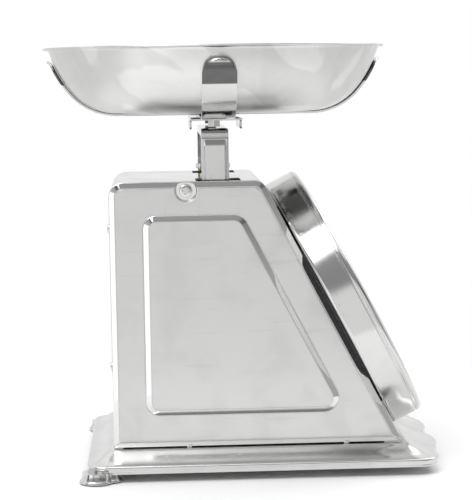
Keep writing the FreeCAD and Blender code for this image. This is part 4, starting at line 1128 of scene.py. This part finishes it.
def makeKnob():
    low, high = boxMm("zero_knob")
    centre = middleOf("zero_knob")
    radius = (high.x - low.x) / 2
    top = high.z
    bottom = top - knob["height"]
    steps = knob["flutes"] * 12

    def ring(r, z, depth):
        out = []
        for j in range(steps):
            a = 2 * math.pi * j / steps
            flute = max(0.0, math.cos(a * knob["flutes"])) ** 1.5
            rr = r - depth * flute
            out.append((rr * math.cos(a), rr * math.sin(a), z))
        return out

    deep = knob["fluteDepth"]
    stem, neck, dish = knob["stemRadius"], knob["neckRadius"], knob["dishDepth"]
    # radius, height and flute depth, from the stem up over the rim to the dished top
    profile = [(stem, low.z, 0), (stem, bottom - 3.0, 0), (neck, bottom - 2.8, 0), (neck, bottom, 0),
               (radius - 0.5, bottom, deep * 0.4), (radius - 0.1, bottom + 0.2, deep),
               (radius, bottom + 0.6, deep), (radius, top - 0.7, deep), (radius - 0.2, top - 0.25, deep),
               (radius - 0.8, top - 0.03, deep * 0.3), (radius - 2.2, top, 0), (radius - 2.6, top - 0.25, 0),
               (3.0, top - dish, 0), (1.0, top - dish, 0)]
    loops = [ring(*row) for row in profile]
    piece = loopsMesh("zero_knob_fluted", loops, lambda p: (centre.x + p[0], centre.y + p[1], p[2]))
    hardEdges(piece, 40)
    settle(piece, "zero_knob", screwFinish, "plated_fastener", "zero_knob")


makeKnob()


spring = {"radius": 5.5, "wire": 0.8, "turns": 27, "ring": 4.0}


def coilTree():
    tree, entering, leaving = treeWith("spring_coil", [
        ("Turns", "NodeSocketFloat", 27.0),
        ("Radius", "NodeSocketFloat", 0.0055),
        ("Height", "NodeSocketFloat", 0.06),
        ("Wire", "NodeSocketFloat", 0.0008),
        ("Ring", "NodeSocketFloat", 0.004),
        ("Material", "NodeSocketMaterial", None),
    ])
    given = entering.outputs
    coil = geo(tree, "GeometryNodeCurveSpiral", Resolution=28, Rotations=given["Turns"],
               Start_Radius=given["Radius"], End_Radius=given["Radius"], Height=given["Height"])
    loop = geo(tree, "GeometryNodeCurvePrimitiveCircle", Resolution=40, Radius=given["Ring"])
    section = geo(tree, "GeometryNodeCurvePrimitiveCircle", Resolution=10, Radius=given["Wire"])
    parts = geo(tree, "GeometryNodeJoinGeometry")
    drop = Value(tree, given["Ring"]) + Value(tree, given["Wire"])
    for height in (drop * -1.0, drop + Value(tree, given["Height"])):
        spot = geo(tree, "ShaderNodeCombineXYZ", Z=height.socket)
        lifted = geo(tree, "GeometryNodeTransform", Geometry=loop.outputs[0], Translation=spot.outputs[0],
                     Rotation=(0, math.pi / 2, 0))
        tree.links.new(lifted.outputs[0], parts.inputs[0])
    tree.links.new(coil.outputs[0], parts.inputs[0])
    solid = geo(tree, "GeometryNodeCurveToMesh", Curve=parts.outputs[0], Profile_Curve=section.outputs[0],
                Fill_Caps=True)
    finishTree(tree, leaving, solid.outputs[0], given["Material"])
    return tree


def makeSprings():
    tree = coilTree()
    for name, node in (("load_spring_left", "spring_left"), ("load_spring_right", "spring_right")):
        low, high = boxMm(node)
        centre = (low + high) / 2
        hook = spring["ring"] + spring["wire"]
        bottom = low.z + 2 * hook
        height = (high.z - low.z) - 4 * hook
        piece = grown(name, tree, {
            "Turns": float(spring["turns"]),
            "Radius": spring["radius"] * toMetres,
            "Height": height * toMetres,
            "Wire": spring["wire"] * toMetres,
            "Ring": spring["ring"] * toMetres,
            "Material": springFinish,
        })
        foot = Vector((centre.x, centre.y, bottom)) * toMetres
        piece.data.transform(Matrix.Translation(foot))
        piece.data.polygons.foreach_set("use_smooth", [True] * len(piece.data.polygons))
        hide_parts(node)
        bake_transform(piece)


makeSprings()
print("knob and springs made")


def crossScrew(radius, height):
    # a pan head with a tapered cross recess, head up from z = 0, in millimetres
    dome = [(0.0, -0.2), (radius - 0.1, -0.2), (radius, 0.0), (radius, height * 0.35)]
    dome += [(radius * math.cos(t), height * 0.35 + height * 0.65 * math.sin(t)) for t in
             [math.pi / 2 * k / 10 for k in range(1, 10)]] + [(0.0, height)]
    head = spun("screw_head", dome, lambda p: p, 48)
    half, wide = radius * 0.56, radius * 0.15
    for turn in (0, math.pi / 2):
        spin = Matrix.Rotation(turn, 3, "Z")
        deep, over = height * 0.35, height * 1.2
        loops = []
        for z, grow in ((deep, 0.45), (height, 1.0), (over, 1.1)):
            a, b = half * (0.6 + 0.4 * grow), wide * (0.7 + 0.3 * grow)
            loops.append([tuple(spin @ Vector(c)) for c in ((-a, -b, z), (a, -b, z), (a, b, z), (-a, b, z))])
        carve(head, loopsMesh("cross", loops, lambda p: p))
    return head


def screwTree():
    tree, entering, leaving = treeWith("screws", [
        ("Geometry", "NodeSocketGeometry", None),
        ("Screw", "NodeSocketObject", None),
        ("Seed", "NodeSocketInt", 3),
        ("Material", "NodeSocketMaterial", None),
    ])
    given = entering.outputs
    master = geo(tree, "GeometryNodeObjectInfo", Object=given["Screw"])
    facing = geo(tree, "GeometryNodeInputNamedAttribute", {"data_type": "FLOAT_VECTOR"}, Name="facing")
    aligned = geo(tree, "FunctionNodeAlignRotationToVector", {"axis": "Z"}, Vector=facing.outputs[0])
    chance = geo(tree, "FunctionNodeRandomValue", {"data_type": "FLOAT"}, Max=math.pi / 2,
                 Seed=given["Seed"])
    twist = geo(tree, "ShaderNodeCombineXYZ", Z=chance.outputs[1])
    both = geo(tree, "FunctionNodeRotateRotation", {"rotation_space": "LOCAL"}, Rotation=aligned.outputs[0],
               Rotate_By=twist.outputs[0])
    placed = geo(tree, "GeometryNodeInstanceOnPoints", Points=given["Geometry"],
                 Instance=master.outputs["Geometry"], Rotation=both.outputs[0])
    finishTree(tree, leaving, placed.outputs[0], given["Material"])
    return tree


def islands(node):
    # middle and size of each separate solid in a CAD node, in millimetres
    work = bmesh.new()
    work.from_mesh(frame["nodes"][node].data)
    bmesh.ops.remove_doubles(work, verts=work.verts, dist=1e-6)
    left = set(work.verts)
    found = []
    while left:
        group, todo = [], [left.pop()]
        while todo:
            v = todo.pop()
            group.append(v.co * 1000)
            for edge in v.link_edges:
                other = edge.other_vert(v)
                if other in left:
                    left.remove(other)
                    todo.append(other)
        low = Vector([min(p[i] for p in group) for i in range(3)])
        high = Vector([max(p[i] for p in group) for i in range(3)])
        found.append((low, high, sum(group, Vector()) / len(group)))
    work.free()
    return sorted(found, key=lambda f: tuple(f[0]))


def makeScrews():
    tree = screwTree()
    groups = (("side_panel_screws", "housing", 4.0, 2.0, "x"), ("back_screws", "housing", 3.2, 2.0, "+y"),
              ("base_screws", "housing", 3.0, 1.8, "-z"), ("platform_screws", "platform", 3.4, 1.3, "+z"),
              ("crossbar_screws", "platform", 3.0, 1.8, "x"))
    for node, body, radius, height, way in groups:
        spots, facing = [], []
        for low, high, middle in islands(node):
            centre = (low + high) / 2
            if way == "x":
                side = 1 if centre.x > 0 else -1
                spots.append(Vector(((high.x if side > 0 else low.x) - side * height, centre.y, centre.z)))
                facing.append(Vector((side, 0, 0)))
            elif way == "+y":
                spots.append(Vector((centre.x, high.y - height, centre.z)))
                facing.append(Vector((0, 1, 0)))
            elif way == "-z":
                spots.append(Vector((centre.x, centre.y, low.z + height)))
                facing.append(Vector((0, 0, -1)))
            else:
                spots.append(Vector((centre.x, centre.y, high.z - height)))
                facing.append(Vector((0, 0, 1)))
        master = crossScrew(radius, height)
        mesh = bpy.data.meshes.new(node + "_points")
        mesh.from_pydata([p * toMetres for p in spots], [], [])
        facingOut = mesh.attributes.new("facing", "FLOAT_VECTOR", "POINT")
        facingOut.data.foreach_set("vector", [c for v in facing for c in v])
        piece = grown(node + "_heads", tree, {"Screw": master, "Seed": 3, "Material": screwFinish}, mesh)
        bpy.data.objects.remove(master)
        hardEdges(piece, 35)
        settle(piece, body, screwFinish, "plated_fastener", node)


makeScrews()
print("screws made")


keptFinish = {
    "polished_steel": stripFinish,
    "plated_fastener": screwFinish,
    "zinc_steel": zincFinish,
    "spring_steel": springFinish,
    "brass": brassFinish,
    "rubber": rubber,
    "dial_enamel": enamel,
    "clear_lens": clear,
    "pointer_paint": pointerRed,
}


def keepShape(node, material, slot, body):
    # a copy of the CAD node with its loose triangles joined, its flat faces merged and its normals weighted
    source = frame["nodes"][node]
    mesh = source.data.copy()
    work = bmesh.new()
    work.from_mesh(mesh)
    bmesh.ops.remove_doubles(work, verts=work.verts, dist=1e-6)
    bmesh.ops.dissolve_limit(work, angle_limit=math.radians(1.0), verts=work.verts, edges=work.edges)
    bmesh.ops.recalc_face_normals(work, faces=work.faces)
    work.to_mesh(mesh)
    work.free()
    mesh.polygons.foreach_set("use_smooth", [True] * len(mesh.polygons))
    piece = bpy.data.objects.new(node + "_finished", mesh)
    sceneNow.collection.objects.link(piece)
    hardEdges(piece, 30)
    return settle(piece, body, material, slot, node)


slotOf = {row["node"]: row["material_slot"] for row in frame["record"]["subparts"]}
bodyOf = {node: body for body, nodes in frame["record"]["behaviour"]["bodies"].items() for node in nodes}
for node in sorted(frame["nodes"]):
    if not frame["nodes"][node].hide_render:
        finish = wrapFinish if node == "housing_wrap" else keptFinish[slotOf[node]]
        keepShape(node, finish, slotOf[node], bodyOf[node])
print("kept CAD shapes finished")


shot = {
    "place": (-1033.1, 51.2, 240.0),
    "yaw": 2.706,
    "pitch": 6.123,
    "roll": -0.855,
    "lens": 118.8,
}


def makeCamera():
    yaw, pitch, roll = (math.radians(shot[k]) for k in ("yaw", "pitch", "roll"))
    ahead = Vector((math.cos(yaw), -math.sin(yaw), 0))
    right = Vector((-math.sin(yaw), -math.cos(yaw), 0))
    up = ahead * math.sin(pitch) + Vector((0, 0, math.cos(pitch)))
    look = ahead * math.cos(pitch) - Vector((0, 0, math.sin(pitch)))
    right2 = right * math.cos(roll) + up * math.sin(roll)
    up2 = up * math.cos(roll) - right * math.sin(roll)
    turn = Matrix((right2, up2, -look)).transposed().to_4x4()
    data = bpy.data.cameras.new("camera")
    data.lens = shot["lens"]
    data.sensor_width = 36.0
    data.clip_start, data.clip_end = 0.05, 30.0
    camera = bpy.data.objects.new("camera", data)
    camera.matrix_world = Matrix.Translation(Vector(shot["place"]) * toMetres) @ turn
    sceneNow.collection.objects.link(camera)
    sceneNow.camera = camera


makeCamera()


studio = {
    "floorRadius": 330.0,
    "background": 1.0,
    "skyTop": 1.2,
    "horizon": 0.95,
    "below": 0.95,
    "ceiling": 0.34,
    "window": 1.5,
    "wall": 0.5,
    "flags": ((0.42, 0.035), (0.9, 0.05), (-0.95, 0.03)),
    "flagDark": 0.08,
    "keyPower": 14.0,
    "keyPlace": (-0.7, 0.7, 1.6),
    "keySize": (1.2, 1.2),
    "fillPower": 4.0,
    "fillPlace": (0.6, -0.9, 1.2),
    "fillSize": (1.0, 1.0),
    "aim": (0, 0, 0.1),
}


def makeFloor():
    f = Finish("studio_floor")
    mottle = f.noise(3.0, 3.0)
    colour = f.mixed(mottle, (0.93, 0.93, 0.93, 1), (0.95, 0.95, 0.95, 1))
    material = f.use(Base_Color=colour, Roughness=0.7 + mottle * 0.1)
    rounds = 96
    edge = [(studio["floorRadius"] * math.cos(2 * math.pi * k / rounds),
             studio["floorRadius"] * math.sin(2 * math.pi * k / rounds), 0) for k in range(rounds)]
    floor = meshFrom("studio_floor", edge, [tuple(range(rounds))], False)
    floor.data.materials.append(material)


makeFloor()


def makeWorld():
    world = bpy.data.worlds.new("studio")
    sceneNow.world = world
    world.use_nodes = True
    tree = world.node_tree
    tree.nodes.clear()
    out = tree.nodes.new("ShaderNodeOutputWorld")
    seen = tree.nodes.new("ShaderNodeBackground")
    seen.inputs[0].default_value = (1, 1, 1, 1)
    seen.inputs[1].default_value = studio["background"]
    room = tree.nodes.new("ShaderNodeBackground")
    path = tree.nodes.new("ShaderNodeLightPath")
    pick = tree.nodes.new("ShaderNodeMixShader")
    way = tree.nodes.new("ShaderNodeTexCoord")
    apart = tree.nodes.new("ShaderNodeSeparateXYZ")
    tree.links.new(way.outputs["Generated"], apart.inputs[0])
    height = Value(tree, apart.outputs[2])
    towards = Value(tree, apart.outputs[0])
    across = Value(tree, apart.outputs[1])
    level = studio["horizon"] + height.between(0.3, 0.95) * (studio["skyTop"] - studio["horizon"])
    level = level + (height * -1.0).between(0.05, 0.3) * (studio["below"] - studio["horizon"])
    near = (towards * -1.0).between(0.05, 0.3)
    # a grey ceiling in front of the near side, a grey wall beyond the dial and thin black flags beside it
    ceiling = height.between(0.2, 0.3) * (1.0 - height.between(0.70, 0.76)) * near
    wall = (across * -1.0).between(0.3, 0.4) * (1.0 - (across * -1.0).between(0.88, 0.94)) * near
    wall = wall * height.between(-0.3, -0.2) * (1.0 - height.between(0.4, 0.6))
    flags = 0.0
    for middle, half in studio["flags"]:
        flags = flags + (1.0 - (across - middle).maths("ABSOLUTE").between(half * 0.8, half))
    flags = flags * near * height.between(-0.3, -0.2) * (1.0 - height.between(0.55, 0.7))
    window = across.between(0.5, 0.55) * (1.0 - across.between(0.8, 0.85)) * near
    window = window * (1.0 - height.between(0.5, 0.6))
    level = level * (1.0 + window * (studio["window"] - 1))
    shade = (1.0 - ceiling * (1 - studio["ceiling"])) * (1.0 - wall * (1 - studio["wall"]))
    shade = shade * (1.0 - flags.maths("MINIMUM", 1.0) * (1 - studio["flagDark"]))
    strength = level * shade
    room.inputs[0].default_value = (1, 1, 1, 1)
    tree.links.new(strength.socket, room.inputs[1])
    tree.links.new(path.outputs["Is Camera Ray"], pick.inputs[0])
    tree.links.new(room.outputs[0], pick.inputs[1])
    tree.links.new(seen.outputs[0], pick.inputs[2])
    tree.links.new(pick.outputs[0], out.inputs[0])


makeWorld()


def softbox(name, place, target, size, power):
    data = bpy.data.lights.new(name, "AREA")
    data.shape = "RECTANGLE"
    data.size, data.size_y = size
    data.energy = power
    lamp = bpy.data.objects.new(name, data)
    lamp.location = place
    lamp.rotation_mode = "QUATERNION"
    lamp.rotation_quaternion = (Vector(target) - Vector(place)).to_track_quat("-Z", "Y")
    sceneNow.collection.objects.link(lamp)


softbox("key_light", studio["keyPlace"], studio["aim"], studio["keySize"], studio["keyPower"])
softbox("fill_light", studio["fillPlace"], studio["aim"], studio["fillSize"], studio["fillPower"])
sceneNow.view_settings.view_transform = "Standard"
print("camera, light and floor ready")
